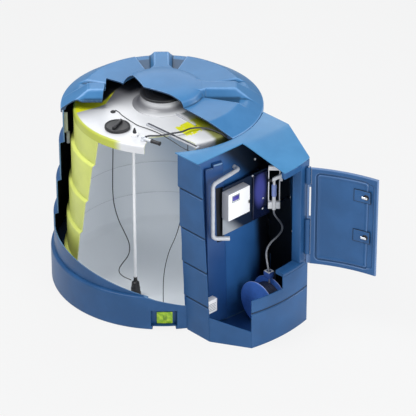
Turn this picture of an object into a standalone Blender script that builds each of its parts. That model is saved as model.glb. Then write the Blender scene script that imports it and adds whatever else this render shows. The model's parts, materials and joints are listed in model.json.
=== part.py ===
"""A bunded storage tank for diesel exhaust fluid, cut open to show how it is built: a ring-stepped outer
bund with a ribbed lid, an inner tank with its deck fittings and pump, and a dispensing cabinet with a
curved door, a hose reel, a nozzle and a controller. Metres, +Z up, cabinet towards -Y, tank axis on Z."""

import math

import bmesh
import bpy
from mathutils import Matrix, Vector

# Clearances
GAP = 0.0003                 # between pieces that touch
SWING_GAP = 0.005            # between door barrels and the blocks beside them

# Outer bund: five moulded rings, each set in from the one below
BUND_WALL = 0.012
RING_RADII = (1.155, 1.119, 1.083, 1.044, 1.000)
RING_JOINTS = (0.380, 0.765, 1.150, 1.585)
BUND_TOP = 1.945
FOOT_CHAMFER = 0.010
BASE_FLANGE = 0.016          # how far the base ring reaches in under the wall
WALL_START = -58.0           # degrees, where the wall leaves the cabinet's right flank
WALL_END = 143.0             # degrees, where the cutaway begins
WALL_SEGMENTS = 4
BASE_STEPS = 60
POCKET_ANGLES = (220.6, 13.2)
POCKET_HEIGHTS = (0.0445, 0.224)
POCKET_DEPTH = 0.050
NOTCH_ANGLES = (221.3, 11.9) # the foot notch below the pocket, open to the ground
NOTCH_TOP = 0.0385
NOTCH_DEPTH = 0.085
CUT_PLANE = (0.328, -0.185, 0.176)   # z = a + b x + c y along the sawn edge of the base

# Lid
LID_RADIUS = 1.018
LID_WALL = 0.012
LID_BOTTOM = 1.920
LID_SHOULDER = 1.970
SECTOR_RADIUS = 0.815
SECTOR_TOP = 2.100
DOME_RADIUS = 0.420
DOME_EDGE = 2.160
DOME_TOP = 2.205
GROOVE_FLOOR = 2.055
GROOVE_ANGLE = 18.9
RIB_HALF = 0.115
RIB_TOP = 2.165
RIB_END = 0.745
RIB_TURN = 47.5              # degrees from +X to the first rib
LID_CUT = (
    (0.003, -1.400), (-1.400, -1.400), (-1.400, 1.000), (-0.850, 0.645), (-0.735, 0.555),
    (-0.666, 0.442), (-0.526, 0.314), (-0.470, 0.345), (-0.216, 0.590), (-0.173, 0.423),
    (-0.169, 0.374), (-0.114, 0.379), (-0.081, 0.341), (-0.200, 0.050), (-0.115, -0.240),
    (-0.090, -0.410), (-0.108, -0.800),
    (0.003, -1.030),
)

# Inner tank
TANK_WALL = 0.010
TANK_RADII = (1.020, 0.985, 0.955, 0.925, 0.892)
TANK_FLOOR_HEIGHT = 0.120
TANK_CHAMFER = 0.060
TANK_START = -106.0          # degrees, hidden edge of the cut behind the cabinet
TANK_END = 187.0             # degrees, before the slanting saw cut
TANK_SEGMENTS = 5
TANK_CUT = (0.345, -0.200)   # the sawn edge lies on y = a + b z
SKIRT_BOTTOM = 1.862
DECK_PROFILE = ((0.892, 1.936), (0.880, 1.950), (0.700, 1.955), (0.500, 1.957), (0.200, 1.962))
DECK_STEPS = 56
GLAND = (-0.478, 0.205)
DECK_CUT = ((-0.573, -0.428), (-0.500, -0.470), (-0.360, -0.560), (-0.330, -0.750), (-0.320, -0.900), (-0.340, -1.200), (-1.050, -1.200), (-1.300, -0.868))
MANWAY_RADIUS = 0.215
MANWAY_TOP = 2.072
MANWAY_FOOT = 0.300
COVER_HEIGHT = 0.026

# Cabinet
CAB_WALL = 0.012
CAB_HALF = 0.604
FLANK_LEAN = 0.070           # the flank's front edge leans back this much for each metre of height
FLANK_REAR = (0.975, 0.945, 0.918, 0.890, 0.865)
FRONT_RADIUS = 1.735
COMP_CLEAR = 0.120           # from the inner tank's widest ring to the compartment's wall at its foot
COMP_BOTTOM_RADIUS = TANK_RADII[0] + COMP_CLEAR
CAB_DEPTH = FRONT_RADIUS - COMP_BOTTOM_RADIUS
FLANK_FRONT = COMP_BOTTOM_RADIUS + 0.3025 * CAB_DEPTH
FRONT_HALF = 0.389
CAB_TOP = 1.960
CAB_TOP_BREAK = 1.200        # the top is flat back to here and falls from here to the front
CAB_TOP_FALL = 0.180
CAB_REAR_RADIUS = 1.025
CAB_CUT_Y = 1.150
GROOVE_DEPTH = 0.004
GROOVE_HEIGHT = 0.012
CHAMFER_CUT = (0.270, 0.190) # heights of the cut chamfer wall at the flank and at the front
FRONT_CUT = 0.550
SILL_TOP = 0.725
SILL_INNER = FRONT_RADIUS - 0.1765 * CAB_DEPTH
HEADER_BOTTOM = 1.785
OPENING_HALF = 0.250
COMP_TOP_RADIUS = RING_RADII[-1] + 0.045
DUCT_ANGLES = (249.5, 260.0)
DUCT_DEPTH = 0.045
DUCT_TOP = 1.750

# Door, modelled shut and then swung on its hinge
HINGE_X = 0.335
HINGE_Y = -(FRONT_RADIUS - 0.005)
DOOR_OPEN = 116.0
DOOR_BOTTOM = 0.712
DOOR_TOP = 1.795
DOOR_CLEAR = 0.007           # from the curved front to the shut door
DOOR_INNER = FRONT_RADIUS + DOOR_CLEAR
DOOR_THICK = 0.034
DOOR_FREE_X = -0.385
DOOR_HINGE_X = 0.300
DOOR_BORDER = 0.062
DOOR_GROOVE = 0.020
PIN_RADIUS = 0.006
PIN_PLAY = 0.0004
BARREL_RADIUS = 0.014
BLOCKS = ((0.820, 1.215), (1.615, DOOR_TOP))
BLOCK_HALF = 0.022
BLOCK_ROUND = 0.0285         # the rounded nose of each block, which the open door's edge stands beside
LATCH_X = (-0.309, -0.157)
LATCH_HEIGHTS = (1.127, 1.577)
LATCH_HALF_HEIGHT = 0.062
LATCH_THICK = 0.010

# Hose reel
REEL_Y = -(COMP_BOTTOM_RADIUS + 0.5042 * CAB_DEPTH)
REEL_Z = 0.265
REEL_RADIUS = 0.4034 * CAB_DEPTH
REEL_LEFT = -0.060
REEL_RIGHT = 0.120
REEL_FLANGE = 0.008
REEL_HUB = 0.3958 * REEL_RADIUS
HOSE_COIL = 0.7583 * REEL_RADIUS
GUIDE_X = 0.093
AXLE_RADIUS = 0.020
AXLE_PLAY = 0.0005

parts = bpy.data.collections.new("diesel_exhaust_fluid_tank")
cutters = bpy.data.collections.new("cutters")


def clear_scene():
    for obj in list(bpy.data.objects):
        bpy.data.objects.remove(obj, do_unlink=True)
    for collection in (parts, cutters):
        bpy.context.scene.collection.children.link(collection)


materials = {}


def material(name, colour, roughness, metallic=0.0):
    if name not in materials:
        mat = bpy.data.materials.new(name)
        mat.use_nodes = True
        bsdf = mat.node_tree.nodes["Principled BSDF"]
        bsdf.inputs["Base Color"].default_value = (*colour, 1.0)
        bsdf.inputs["Roughness"].default_value = roughness
        bsdf.inputs["Metallic"].default_value = metallic
        mat.diffuse_color = (*colour, 1.0)
        materials[name] = mat
    return materials[name]


def bund_blue():
    return material("bund_blue", (0.10, 0.24, 0.50), 0.45)


def tank_yellow():
    return material("tank_yellow", (0.62, 0.70, 0.10), 0.45)


def deck_white():
    return material("deck_white", (0.80, 0.80, 0.80), 0.4)


def fitting_black():
    return material("fitting_black", (0.02, 0.02, 0.022), 0.5)


def fitting_white():
    return material("fitting_white", (0.82, 0.82, 0.83), 0.35)


def bracket_grey():
    return material("bracket_grey", (0.45, 0.47, 0.50), 0.5)


def reel_blue():
    return material("reel_blue", (0.05, 0.12, 0.55), 0.35)


def steel():
    return material("steel", (0.75, 0.76, 0.78), 0.25, 1.0)


def keep(obj, mat):
    """Puts the finished object among the parts, with its material."""
    for collection in list(obj.users_collection):
        collection.objects.unlink(obj)
    parts.objects.link(obj)
    obj.data.materials.clear()
    obj.data.materials.append(mat)
    return obj


def as_cutter(obj):
    for collection in list(obj.users_collection):
        collection.objects.unlink(obj)
    cutters.objects.link(obj)
    obj.hide_render = True
    obj.display_type = "WIRE"
    return obj


def mesh_object(name, bm):
    bmesh.ops.recalc_face_normals(bm, faces=bm.faces)
    mesh = bpy.data.meshes.new(name)
    bm.to_mesh(mesh)
    bm.free()
    obj = bpy.data.objects.new(name, mesh)
    bpy.context.scene.collection.objects.link(obj)
    return obj


def box(name, low, high):
    bm = bmesh.new()
    bmesh.ops.create_cube(bm, size=1.0)
    size = [b - a for a, b in zip(low, high)]
    centre = [(a + b) / 2 for a, b in zip(low, high)]
    bmesh.ops.scale(bm, vec=size, verts=bm.verts)
    bmesh.ops.translate(bm, vec=centre, verts=bm.verts)
    return mesh_object(name, bm)


def rod(name, start, end, radius, sides=24, end_radius=None):
    """A straight round bar, or a cone, between two points."""
    start, end = Vector(start), Vector(end)
    along = end - start
    bm = bmesh.new()
    tip = radius if end_radius is None else end_radius
    bmesh.ops.create_cone(bm, cap_ends=True, segments=sides, radius1=radius, radius2=tip, depth=along.length)
    turn = along.to_track_quat("Z", "Y").to_matrix().to_4x4()
    bmesh.ops.transform(bm, matrix=Matrix.Translation((start + end) / 2) @ turn, verts=bm.verts)
    return mesh_object(name, bm)


PLANES = {
    "XY": Matrix(((1, 0, 0), (0, 1, 0), (0, 0, 1))),
    "YZ": Matrix(((0, 0, 1), (1, 0, 0), (0, 1, 0))),
    "XZ": Matrix(((1, 0, 0), (0, 0, -1), (0, 1, 0))),
}


def mesh_from_curve(obj):
    """Turns a curve object into a mesh object with its caps joined to its sides."""
    bpy.context.view_layer.update()
    graph = bpy.context.evaluated_depsgraph_get()
    mesh = bpy.data.meshes.new_from_object(obj.evaluated_get(graph))
    bm = bmesh.new()
    bm.from_mesh(mesh)
    bmesh.ops.transform(bm, matrix=obj.matrix_world, verts=bm.verts)
    bmesh.ops.remove_doubles(bm, verts=bm.verts, dist=0.00002)
    name = obj.name
    bpy.data.objects.remove(obj, do_unlink=True)
    return mesh_object(name, bm)


def plate(name, outline, plane, low, high):
    """A flat outline in one of the main planes, extruded from low to high along the plane's normal."""
    curve = bpy.data.curves.new(name, "CURVE")
    curve.dimensions = "2D"
    curve.fill_mode = "BOTH"
    curve.extrude = abs(high - low) / 2
    spline = curve.splines.new("POLY")
    spline.points.add(len(outline) - 1)
    for point, (u, v) in zip(spline.points, outline):
        point.co = (u, v, 0.0, 1.0)
    spline.use_cyclic_u = True
    obj = bpy.data.objects.new(name, curve)
    bpy.context.scene.collection.objects.link(obj)
    turn = PLANES[plane]
    normal = turn @ Vector((0, 0, 1))
    obj.matrix_world = Matrix.Translation(normal * ((low + high) / 2) * (-1 if plane == "XZ" else 1)) @ turn.to_4x4()
    return mesh_from_curve(obj)


def tube(name, points, radius, resolution=2, smooth=0):
    """A round tube along the points; smooth is how many points a Catmull-Rom span is split into."""
    route = spline_through(points, smooth) if smooth else [Vector(p) for p in points]
    curve = bpy.data.curves.new(name, "CURVE")
    curve.dimensions = "3D"
    curve.bevel_depth = radius
    curve.bevel_resolution = resolution
    curve.use_fill_caps = True
    spline = curve.splines.new("POLY")
    spline.points.add(len(route) - 1)
    for point, co in zip(spline.points, route):
        point.co = (*co, 1.0)
    obj = bpy.data.objects.new(name, curve)
    bpy.context.scene.collection.objects.link(obj)
    return mesh_from_curve(obj)


def spline_through(points, count):
    points = [Vector(p) for p in points]
    ends = [points[0] * 2 - points[1]] + points + [points[-1] * 2 - points[-2]]
    route = []
    for i in range(1, len(ends) - 2):
        a, b, c, d = ends[i - 1:i + 3]
        for step in range(count):
            t = step / count
            route.append(((2 * b) + (c - a) * t + (2 * a - 5 * b + 4 * c - d) * t * t + (3 * b - a - 3 * c + d) * t ** 3) / 2)
    route.append(points[-1])
    return route


def turned(name, profile, thickness=None, start=0.0, sweep=360.0, steps=64):
    """An outer profile of (radius, height), top to bottom, turned about Z. With a thickness it is a
    shell whose wall lies inside the profile; without one the profile is closed and the form is solid."""
    bm = bmesh.new()
    turn = Matrix.Rotation(math.radians(start), 4, "Z")
    ring = profile[0] == profile[-1]
    verts = [bm.verts.new(turn @ Vector((r, 0.0, z))) for r, z in (profile[:-1] if ring else profile)]
    for a, b in zip(verts, verts[1:] + verts[:1] if ring else verts[1:]):
        bm.edges.new((a, b))
    mesh = bpy.data.meshes.new(name)
    bm.to_mesh(mesh)
    bm.free()
    obj = bpy.data.objects.new(name, mesh)
    bpy.context.scene.collection.objects.link(obj)
    screw = obj.modifiers.new("turn", "SCREW")
    screw.axis = "Z"
    screw.angle = math.radians(sweep)
    screw.steps = steps
    screw.render_steps = steps
    screw.use_merge_vertices = sweep == 360.0
    screw.merge_threshold = 0.0001
    if thickness:
        wall = obj.modifiers.new("wall", "SOLIDIFY")
        wall.thickness = thickness
        wall.offset = -1
        wall.use_even_offset = True
    return obj


def sector(name, profile, start, sweep, steps):
    """A closed profile of (radius, height) carried round Z through part of a turn."""
    bm = bmesh.new()
    turn = Matrix.Rotation(math.radians(start), 4, "Z")
    verts = [bm.verts.new(turn @ Vector((r, 0.0, z))) for r, z in profile]
    face = bm.faces.new(verts)
    geometry = [face] + list(face.edges) + verts
    bmesh.ops.spin(bm, geom=geometry, angle=math.radians(sweep), steps=steps, axis=(0, 0, 1), cent=(0, 0, 0), use_duplicate=False)
    return mesh_object(name, bm)


def shell_sector(name, profile, wall, start, sweep, steps):
    """Part of a turned shell whose wall lies inside the profile and whose ends lie on radii."""
    inner = [(r - wall, z) for r, z in reversed(profile)]
    return sector(name, list(profile) + inner, start, sweep, steps)


def boolean(obj, other, operation="DIFFERENCE"):
    """Cuts, joins or trims with another object, which becomes a cutter."""
    as_cutter(other)
    modifier = obj.modifiers.new(operation.lower(), "BOOLEAN")
    modifier.operation = operation
    modifier.object = other
    return obj


def baked(obj):
    """Applies the modifiers, so that the mesh can be joined with others or turned."""
    bpy.context.view_layer.update()
    graph = bpy.context.evaluated_depsgraph_get()
    mesh = bpy.data.meshes.new_from_object(obj.evaluated_get(graph))
    obj.modifiers.clear()
    obj.data = mesh
    return obj


def joined(name, objects):
    """Several solids that don't touch, as one mesh, for use as one cutter."""
    bm = bmesh.new()
    for obj in objects:
        bm.from_mesh(obj.data)
        bpy.data.objects.remove(obj, do_unlink=True)
    return mesh_object(name, bm)


def union(obj, others):
    for other in others:
        boolean(obj, other, "UNION")
    return obj


def rounded(obj, width, segments=2):
    bevel = obj.modifiers.new("edges", "BEVEL")
    bevel.width = width
    bevel.segments = segments
    bevel.limit_method = "ANGLE"
    bevel.angle_limit = math.radians(40)
    return obj


def polar(radius, degrees):
    return radius * math.cos(math.radians(degrees)), radius * math.sin(math.radians(degrees))


def comp_radius(z):
    """Outer radius of the compartment's back wall at a height."""
    return COMP_BOTTOM_RADIUS + (COMP_TOP_RADIUS - COMP_BOTTOM_RADIUS) * z / BUND_TOP


def comp_face(x, z):
    """The y of the compartment's back wall at x and z."""
    return -math.sqrt(comp_radius(z) ** 2 - x * x)


def deck_height(radius):
    for (r0, z0), (r1, z1) in zip(DECK_PROFILE, DECK_PROFILE[1:]):
        if r1 <= radius <= r0:
            return z0 + (z1 - z0) * (r0 - radius) / (r0 - r1)
    return DECK_PROFILE[-1][1]


def flank_front(z):
    return -FLANK_FRONT + FLANK_LEAN * z


def front_y(x):
    return -math.sqrt(FRONT_RADIUS ** 2 - x * x)


def cab_top(y):
    return CAB_TOP - max(0.0, -CAB_TOP_BREAK - y) * CAB_TOP_FALL


def saw_cut():
    """A block whose underside is the sawn plane on the left of the base."""
    a, b, c = CUT_PLANE
    reach = 1.4
    obj = box("saw_cut", (-reach, -reach, 0.0), (-0.56, reach, 2.6))
    for vertex in obj.data.vertices:
        if vertex.co.z < 1.0:
            vertex.co.z = a + b * vertex.co.x + c * vertex.co.y
    return obj


def cabinet_gap(name, floor):
    """The space between the flanks, where the cabinet takes the place of the round wall."""
    edge = CAB_HALF + GAP
    return box(name, (-edge, -1.5, floor), (edge, -0.6, 3.0))


def wall_profile(radii, joints, top, bottom, first):
    """Ring after ring from the top down: each joint is a shallow groove under the upper ring's edge."""
    points = [(radii[-1], top)]
    for i in range(len(joints) - 1, first - 1, -1):
        upper, lower, z = radii[i + 1], radii[i], joints[i]
        points += [(upper, z + 0.012), (upper - 0.006, z), (lower, z - 0.014)]
    points.append((radii[first], bottom))
    return points


def bund():
    joint = RING_JOINTS[0]
    top = joint - 0.004
    r1, r2 = RING_RADII[0], RING_RADII[1]
    profile = (
        (r2 - BASE_FLANGE, top), (r2 + 0.010, top), (r1 - 0.010, top - 0.006), (r1, top - 0.018),
        (r1, FOOT_CHAMFER), (r1 - FOOT_CHAMFER, 0.0), (0.0, 0.0),
    )
    base = turned("bund_base", profile, BUND_WALL, steps=BASE_STEPS)
    boolean(base, cabinet_gap("base_gap", BUND_WALL + GAP))
    boolean(base, saw_cut())
    start, sweep = POCKET_ANGLES
    low, high = POCKET_HEIGHTS
    reach = r1 + 0.1
    recess = sector("recess_cut", ((r1 - 0.075, low), (reach, low), (reach, high), (r1 - 0.075, high)), start, sweep, 4)
    boolean(base, recess)
    back = r1 - NOTCH_DEPTH
    foot = sector("notch_cut", ((back, -0.1), (reach, -0.1), (reach, low + 0.001), (back, low + 0.001)), *NOTCH_ANGLES, 4)
    boolean(base, foot)
    keep(base, bund_blue())

    # The first wall ring that the saw left on the cut side
    bottom = top + GAP
    left = shell_sector("bund_wall_cut_edge", ((r2, RING_JOINTS[1] - 0.03), (r2, bottom)), BUND_WALL, WALL_END + 0.02, 72.0, 12)
    boolean(left, saw_cut())
    keep(left, bund_blue())

    sweep = (WALL_END - WALL_START) / WALL_SEGMENTS
    profile = wall_profile(RING_RADII, RING_JOINTS, BUND_TOP, bottom, 1)
    profile[-1:] = [(RING_RADII[1], bottom)]
    for i in range(WALL_SEGMENTS):
        name = f"bund_wall_{i + 1}"
        wall = shell_sector(name, profile, BUND_WALL, WALL_START + i * sweep + 0.01, sweep - 0.02, 9)
        if i == 0:
            boolean(wall, cabinet_gap("wall_gap", 0.0))
        keep(wall, bund_blue())


def lid_form(name, inset):
    """The lid's outside when inset is 0, and its inside when inset is the wall."""
    slope = inset * 0.6
    rim = ((LID_RADIUS - 0.02, LID_SHOULDER + 0.005), (LID_RADIUS, LID_SHOULDER - 0.015), (LID_RADIUS, LID_BOTTOM))
    if inset:
        # The flat that rests on the wall's top, and the lip outside it
        seat = BUND_TOP + GAP
        rim = ((0.965, seat + 0.015), (0.972, seat), (LID_RADIUS - inset, seat), (LID_RADIUS - inset, LID_BOTTOM - inset))
    profile = (
        (0.0, DOME_TOP - inset), (0.22, DOME_TOP - 0.006 - inset), (0.36, DOME_EDGE + 0.014 - inset),
        (DOME_RADIUS - 0.02 - slope, DOME_EDGE - inset), (DOME_RADIUS - inset, SECTOR_TOP - 0.01 - inset),
        (DOME_RADIUS + 0.03, SECTOR_TOP - inset), (SECTOR_RADIUS - 0.02 - slope, SECTOR_TOP - inset),
        (SECTOR_RADIUS - slope, SECTOR_TOP - 0.01 - inset), *rim, (0.0, LID_BOTTOM - inset),
    )
    form = baked(turned(name, profile, steps=60))
    spread = math.tan(math.radians(GROOVE_ANGLE))
    inner, outer = DOME_RADIUS + 0.005 - inset, 1.3
    grooves = []
    ribs = []
    for i in range(4):
        turn = Matrix.Rotation(math.radians(RIB_TURN + 90 * i), 4, "Z")
        outline = ((inner, -inner * spread - inset), (outer, -outer * spread - inset), (outer, outer * spread + inset), (inner, inner * spread + inset))
        groove = plate(f"groove_{i}", outline, "XY", GROOVE_FLOOR - inset, 2.4)
        groove.data.transform(turn)
        grooves.append(groove)
        side = ((0.30, 1.95), (LID_RADIUS - 0.03 - inset, 1.95), (LID_RADIUS - 0.03 - inset, LID_SHOULDER + 0.008 - inset),
                (RIB_END + 0.02 - slope, RIB_TOP - 0.010 - inset), (RIB_END - slope, RIB_TOP - inset), (0.30, RIB_TOP - inset))
        rib = plate(f"rib_{i}", side, "XZ", -(RIB_HALF - inset), RIB_HALF - inset)
        rib.data.transform(turn)
        ribs.append(rib)
    boolean(form, joined(name + "_grooves", grooves))
    union(form, [joined(name + "_ribs", ribs)])
    return form


def lid():
    outer = lid_form("bund_lid", 0.0)
    boolean(outer, lid_form("lid_inside", LID_WALL))
    boolean(outer, plate("lid_cut", LID_CUT, "XY", 1.8, 2.5))
    keep(outer, bund_blue())


def inner_tank():
    floor_level = BUND_WALL + GAP
    r = TANK_RADII[0]
    pan = turned("inner_tank_floor", ((r, TANK_FLOOR_HEIGHT), (r, floor_level + TANK_CHAMFER), (r - TANK_CHAMFER, floor_level), (0.0, floor_level)), TANK_WALL, steps=56)
    keep(pan, deck_white())
    sweep = (TANK_END - TANK_START) / TANK_SEGMENTS
    profile = wall_profile(TANK_RADII, RING_JOINTS, SKIRT_BOTTOM - GAP, TANK_FLOOR_HEIGHT + GAP, 0)
    for i in range(TANK_SEGMENTS):
        wall = shell_sector(f"inner_tank_wall_{i + 1}", profile, TANK_WALL, TANK_START + i * sweep + 0.01, sweep - 0.02, 10)
        if i == TANK_SEGMENTS - 1:
            a, b = TANK_CUT
            outline = [(-1.6, 0.0), (a, 0.0), (a + b * 2.4, 2.4), (-1.6, 2.4)]
            boolean(wall, plate("tank_saw", outline, "YZ", -1.6, -0.3))
        keep(wall, tank_yellow())
    deck = turned("inner_tank_top", [(0.200, DECK_PROFILE[-1][1])] + list(reversed(DECK_PROFILE[:-1])) + [(DECK_PROFILE[0][0], SKIRT_BOTTOM)], TANK_WALL, steps=DECK_STEPS)
    boolean(deck, plate("deck_cut", DECK_CUT, "XY", 1.5, 2.3))
    x, y = GLAND
    level = deck_height(math.hypot(x, y))
    union(deck, [rod("cable_gland", (x, y, level - 0.007), (x, y, level + 0.015), 0.026, 20)])
    keep(deck, deck_white())


def manway():
    outer, lip = MANWAY_FOOT, 0.016
    foot, foot_inner = deck_height(outer) + GAP, deck_height(outer - lip) + GAP
    bore = MANWAY_RADIUS - TANK_WALL
    profile = [
        (MANWAY_RADIUS, MANWAY_TOP), (MANWAY_RADIUS, MANWAY_TOP - 0.030), (MANWAY_RADIUS + 0.018, MANWAY_TOP - 0.070),
        (outer, foot + 0.010), (outer, foot), (outer - lip, foot_inner), (bore + 0.020, MANWAY_TOP - 0.078),
        (bore, MANWAY_TOP - 0.036), (bore, MANWAY_TOP), (MANWAY_RADIUS, MANWAY_TOP),
    ]
    keep(turned("manway_neck", profile, steps=36), deck_white())
    low = MANWAY_TOP + GAP
    r = MANWAY_RADIUS + 0.006
    profile = ((0.0, low + 0.016), (0.10, low + 0.016), (0.17, low + 0.012), (r - 0.020, low + COVER_HEIGHT), (r - 0.004, low + COVER_HEIGHT), (r, low + 0.020), (r, low), (0.0, low))
    keep(turned("manway_cover", profile, steps=40), fitting_black())


def deck_fittings():
    x, y = SCREW_CAP
    r = 0.128
    foot = deck_height(math.hypot(x, y) - r) + GAP
    top = foot + 0.032
    cap = rod("screw_cap", (x, y, foot), (x, y, top), r, 36, r - 0.008)
    bar = box("cap_bar", (-0.095, -0.016, top - 0.008), (0.095, 0.016, top + 0.024))
    bar.data.transform(Matrix.Translation((x, y, 0)) @ Matrix.Rotation(math.radians(22), 4, "Z"))
    keep(union(cap, [bar]), fitting_black())

    x, y = VENT
    r = 0.036
    z = deck_height(math.hypot(x, y) - r) + GAP
    base = rod("deck_vent", (x, y, z), (x, y, z + 0.030), r, 24)
    union(base, [rod("vent_post", (x, y, z + 0.02), (x, y, z + 0.085), 0.015, 16)])
    keep(base, fitting_white())

    # A rail that lies on the deck and reaches over its cut edge towards the cabinet
    (x0, y0), (x1, y1) = RAIL
    length = math.hypot(x1 - x0, y1 - y0)
    rail = box("level_bracket", (0.0, -RAIL_HALF, 0.0), (length, RAIL_HALF, RAIL_HEIGHT))
    rail.data.transform(Matrix.Translation((x0, y0, 0)) @ Matrix.Rotation(math.atan2(y1 - y0, x1 - x0), 4, "Z"))
    z = deck_height(min(math.hypot(*vertex.co.xy) for vertex in rail.data.vertices)) + 2 * GAP
    rail.data.transform(Matrix.Translation((0, 0, z)))
    keep(rounded(rail, 0.005), bracket_grey())

    x, y = VALVE
    z = deck_height(math.hypot(x, y) - VALVE_RADIUS) + GAP
    valve = rod("suction_valve", (x, y, z), (x, y, z + 0.050), VALVE_RADIUS, 20)
    dx, dy = VALVE_AXIS
    def along(name, near, far, r):
        return rod(name, (x + dx * near, y + dy * near, z + VALVE_RISE), (x + dx * far, y + dy * far, z + VALVE_RISE), r, 16)
    port = rod("valve_port", (x, y, z + VALVE_RISE), (x + VALVE_PORT, y, z + VALVE_RISE), 0.011, 16)
    union(valve, [along("valve_neck", 0.0, 0.12, 0.016), along("valve_body", 0.10, VALVE_REACH, 0.0215), port])
    keep(valve, fitting_black())


SCREW_CAP = (-0.665, -0.066)
VENT = (-0.650, -0.300)
RAIL = ((-0.411, -0.225), (-0.387, -0.925))
RAIL_HALF = 0.020
RAIL_HEIGHT = 0.018
VALVE = (-0.655, -0.425)
VALVE_AXIS = (0.220, -0.9755)
VALVE_RADIUS = 0.024
VALVE_REACH = 0.205
VALVE_RISE = 0.0225
VALVE_PORT = 0.045
RISER = (-0.580, -0.205)
PUMP_FLOOR = BUND_WALL + GAP + TANK_WALL + GAP
PUMP_PROFILE = ((0.0, 0.235), (0.020, 0.235), (0.020, 0.185), (0.038, 0.175), (0.046, 0.120), (0.052, 0.060), (0.060, 0.0), (0.0, 0.0))


def pump():
    x, y = RISER
    body = turned("lift_pump", [(r, z + PUMP_FLOOR) for r, z in PUMP_PROFILE], steps=28)
    body = baked(body)
    body.data.transform(Matrix.Translation((x, y, 0)))
    keep(body, fitting_black())
    top = deck_height(math.hypot(x, y)) - TANK_WALL - 0.003
    keep(rod("riser_pipe", (x, y, PUMP_FLOOR + 0.235 + GAP), (x, y, top), 0.0155, 20), fitting_white())


PUMP_CABLE = (
    (-0.478, 0.205, 1.9460), (-0.475, 0.210, 1.800), (-0.471, 0.218, 1.650), (-0.474, 0.221, 1.500), (-0.487, 0.213, 1.350),
    (-0.515, 0.188, 1.210), (-0.540, 0.160, 1.080), (-0.552, 0.128, 0.945), (-0.550, 0.070, 0.800),
    (-0.534, 0.006, 0.680), (-0.522, -0.045, 0.580), (-0.528, -0.066, 0.500), (-0.556, -0.066, 0.430),
    (-0.610, -0.045, 0.360), (-0.645, -0.035, 0.310), (-0.656, -0.050, 0.268), (-0.640, -0.090, 0.235),
    (-0.608, -0.130, 0.212), (-0.590, -0.152, 0.200),
)
PROBE_CABLE = (
    (-0.215, -0.600, 1.9450), (-0.218, -0.602, 1.760), (-0.235, -0.612, 1.560), (-0.280, -0.632, 1.330),
    (-0.345, -0.655, 1.130), (-0.407, -0.665, 0.965), (-0.443, -0.642, 0.830), (-0.470, -0.600, 0.700),
    (-0.488, -0.568, 0.560), (-0.497, -0.545, 0.420), (-0.496, -0.530, 0.280), (-0.490, -0.520, 0.150), (-0.485, -0.516, 0.030),
)
DECK_CABLE = (
    (-0.4515, 0.205, 1.963), (-0.446, 0.205, 1.963), (-0.440, 0.196, 1.963), (-0.445, 0.150, 1.963), (-0.463, 0.090, 1.962),
    (-0.483, -0.045, 1.962), (-0.492, -0.190, 1.962), (-0.470, -0.300, 1.962), (-0.457, -0.400, 1.962), (-0.455, -0.500, 1.961),
    (-0.457, -0.590, 1.957), (-0.459, -0.680, 1.950), (-0.458, -0.780, 1.938), (-0.435, -0.862, 1.922), (-0.385, -0.925, 1.908),
    (-0.360, -0.960, 1.905),
)
DECK_HOSE = (
    (-0.588, -0.430, 1.9785), (-0.572, -0.446, 1.981), (-0.548, -0.478, 1.985), (-0.506, -0.525, 1.990),
    (-0.410, -0.570, 1.993), (-0.300, -0.612, 1.990), (-0.200, -0.615, 1.986), (-0.110, -0.662, 1.981), (-0.050, -0.752, 1.977),
    (-0.032, -0.835, 1.973), (-0.018, -0.900, 1.962), (0.006, -0.962, 1.927), (0.028, -1.012, 1.9015), (0.030, -1.0335, 1.900),
)


def delivery_route():
    """From the nozzle's foot down through the guide to the coil; y follows the holster and the reel."""
    x, y = HOLSTER
    shape = (
        (x, 0.0, NOZZLE_FOOT - 2 * GAP), (x, 0.0, NOZZLE_FOOT - 0.012), (x, 0.0, NOZZLE_FOOT - 0.026), (x + 0.008, 0.005, 1.030), (x + 0.040, 0.020, 0.975), (0.455, 0.045, 0.920),
        (0.476, 0.090, 0.868), (0.458, 0.150, 0.823), (0.371, 0.250, 0.799), (0.257, 0.365, 0.789), (0.180, 0.490, 0.768),
        (0.131, 0.631, 0.732), (0.112, 0.757, 0.680), (0.100, 0.882, 0.625), (0.094, 0.966, 0.580),
        (GUIDE_X, 1.0, 0.540), (GUIDE_X, 1.0, 0.500), (GUIDE_X, 1.0, REEL_Z + HOSE_COIL + 0.0065),
    )
    end = REEL_Y - 0.009
    return [(px, y + (end - y) * share, z) for px, share, z in shape]


def cords():
    keep(tube("pump_cable", PUMP_CABLE, 0.005, 2, 2), fitting_black())
    keep(tube("probe_cable", PROBE_CABLE, 0.004, 2, 2), fitting_black())
    keep(tube("deck_cable", DECK_CABLE, 0.004, 2, 2), fitting_black())
    x, y = VALVE
    height = deck_height(math.hypot(x, y) - VALVE_RADIUS) + GAP + VALVE_RISE
    start = [(x + VALVE_PORT + reach, y, height) for reach in (2 * GAP, 0.006, 0.012)]
    keep(tube("deck_hose", start + list(DECK_HOSE), 0.009, 2, 2), fitting_black())
    keep(tube("delivery_hose", delivery_route(), 0.010, 2, 3), bracket_grey())


def gap_level_panel():
    """The pale panel and block that hang in the space between the two walls beside the cut."""
    sweep = (WALL_END - WALL_START) / WALL_SEGMENTS - 0.02
    angle = WALL_END - 0.01 - sweep / 9
    outer = RING_RADII[-1] - BUND_WALL - 2 * GAP
    panel = box("level_panel", (outer - 0.038, -0.006, 1.640), (outer, 0.006, 1.868))
    block = box("level_block", (outer - 0.055, -0.020, 1.520), (outer - 0.022, 0.020, 1.650))
    union(panel, [block])
    baked(panel)
    panel.data.transform(Matrix.Rotation(math.radians(angle), 4, "Z"))
    keep(panel, deck_white())


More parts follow.
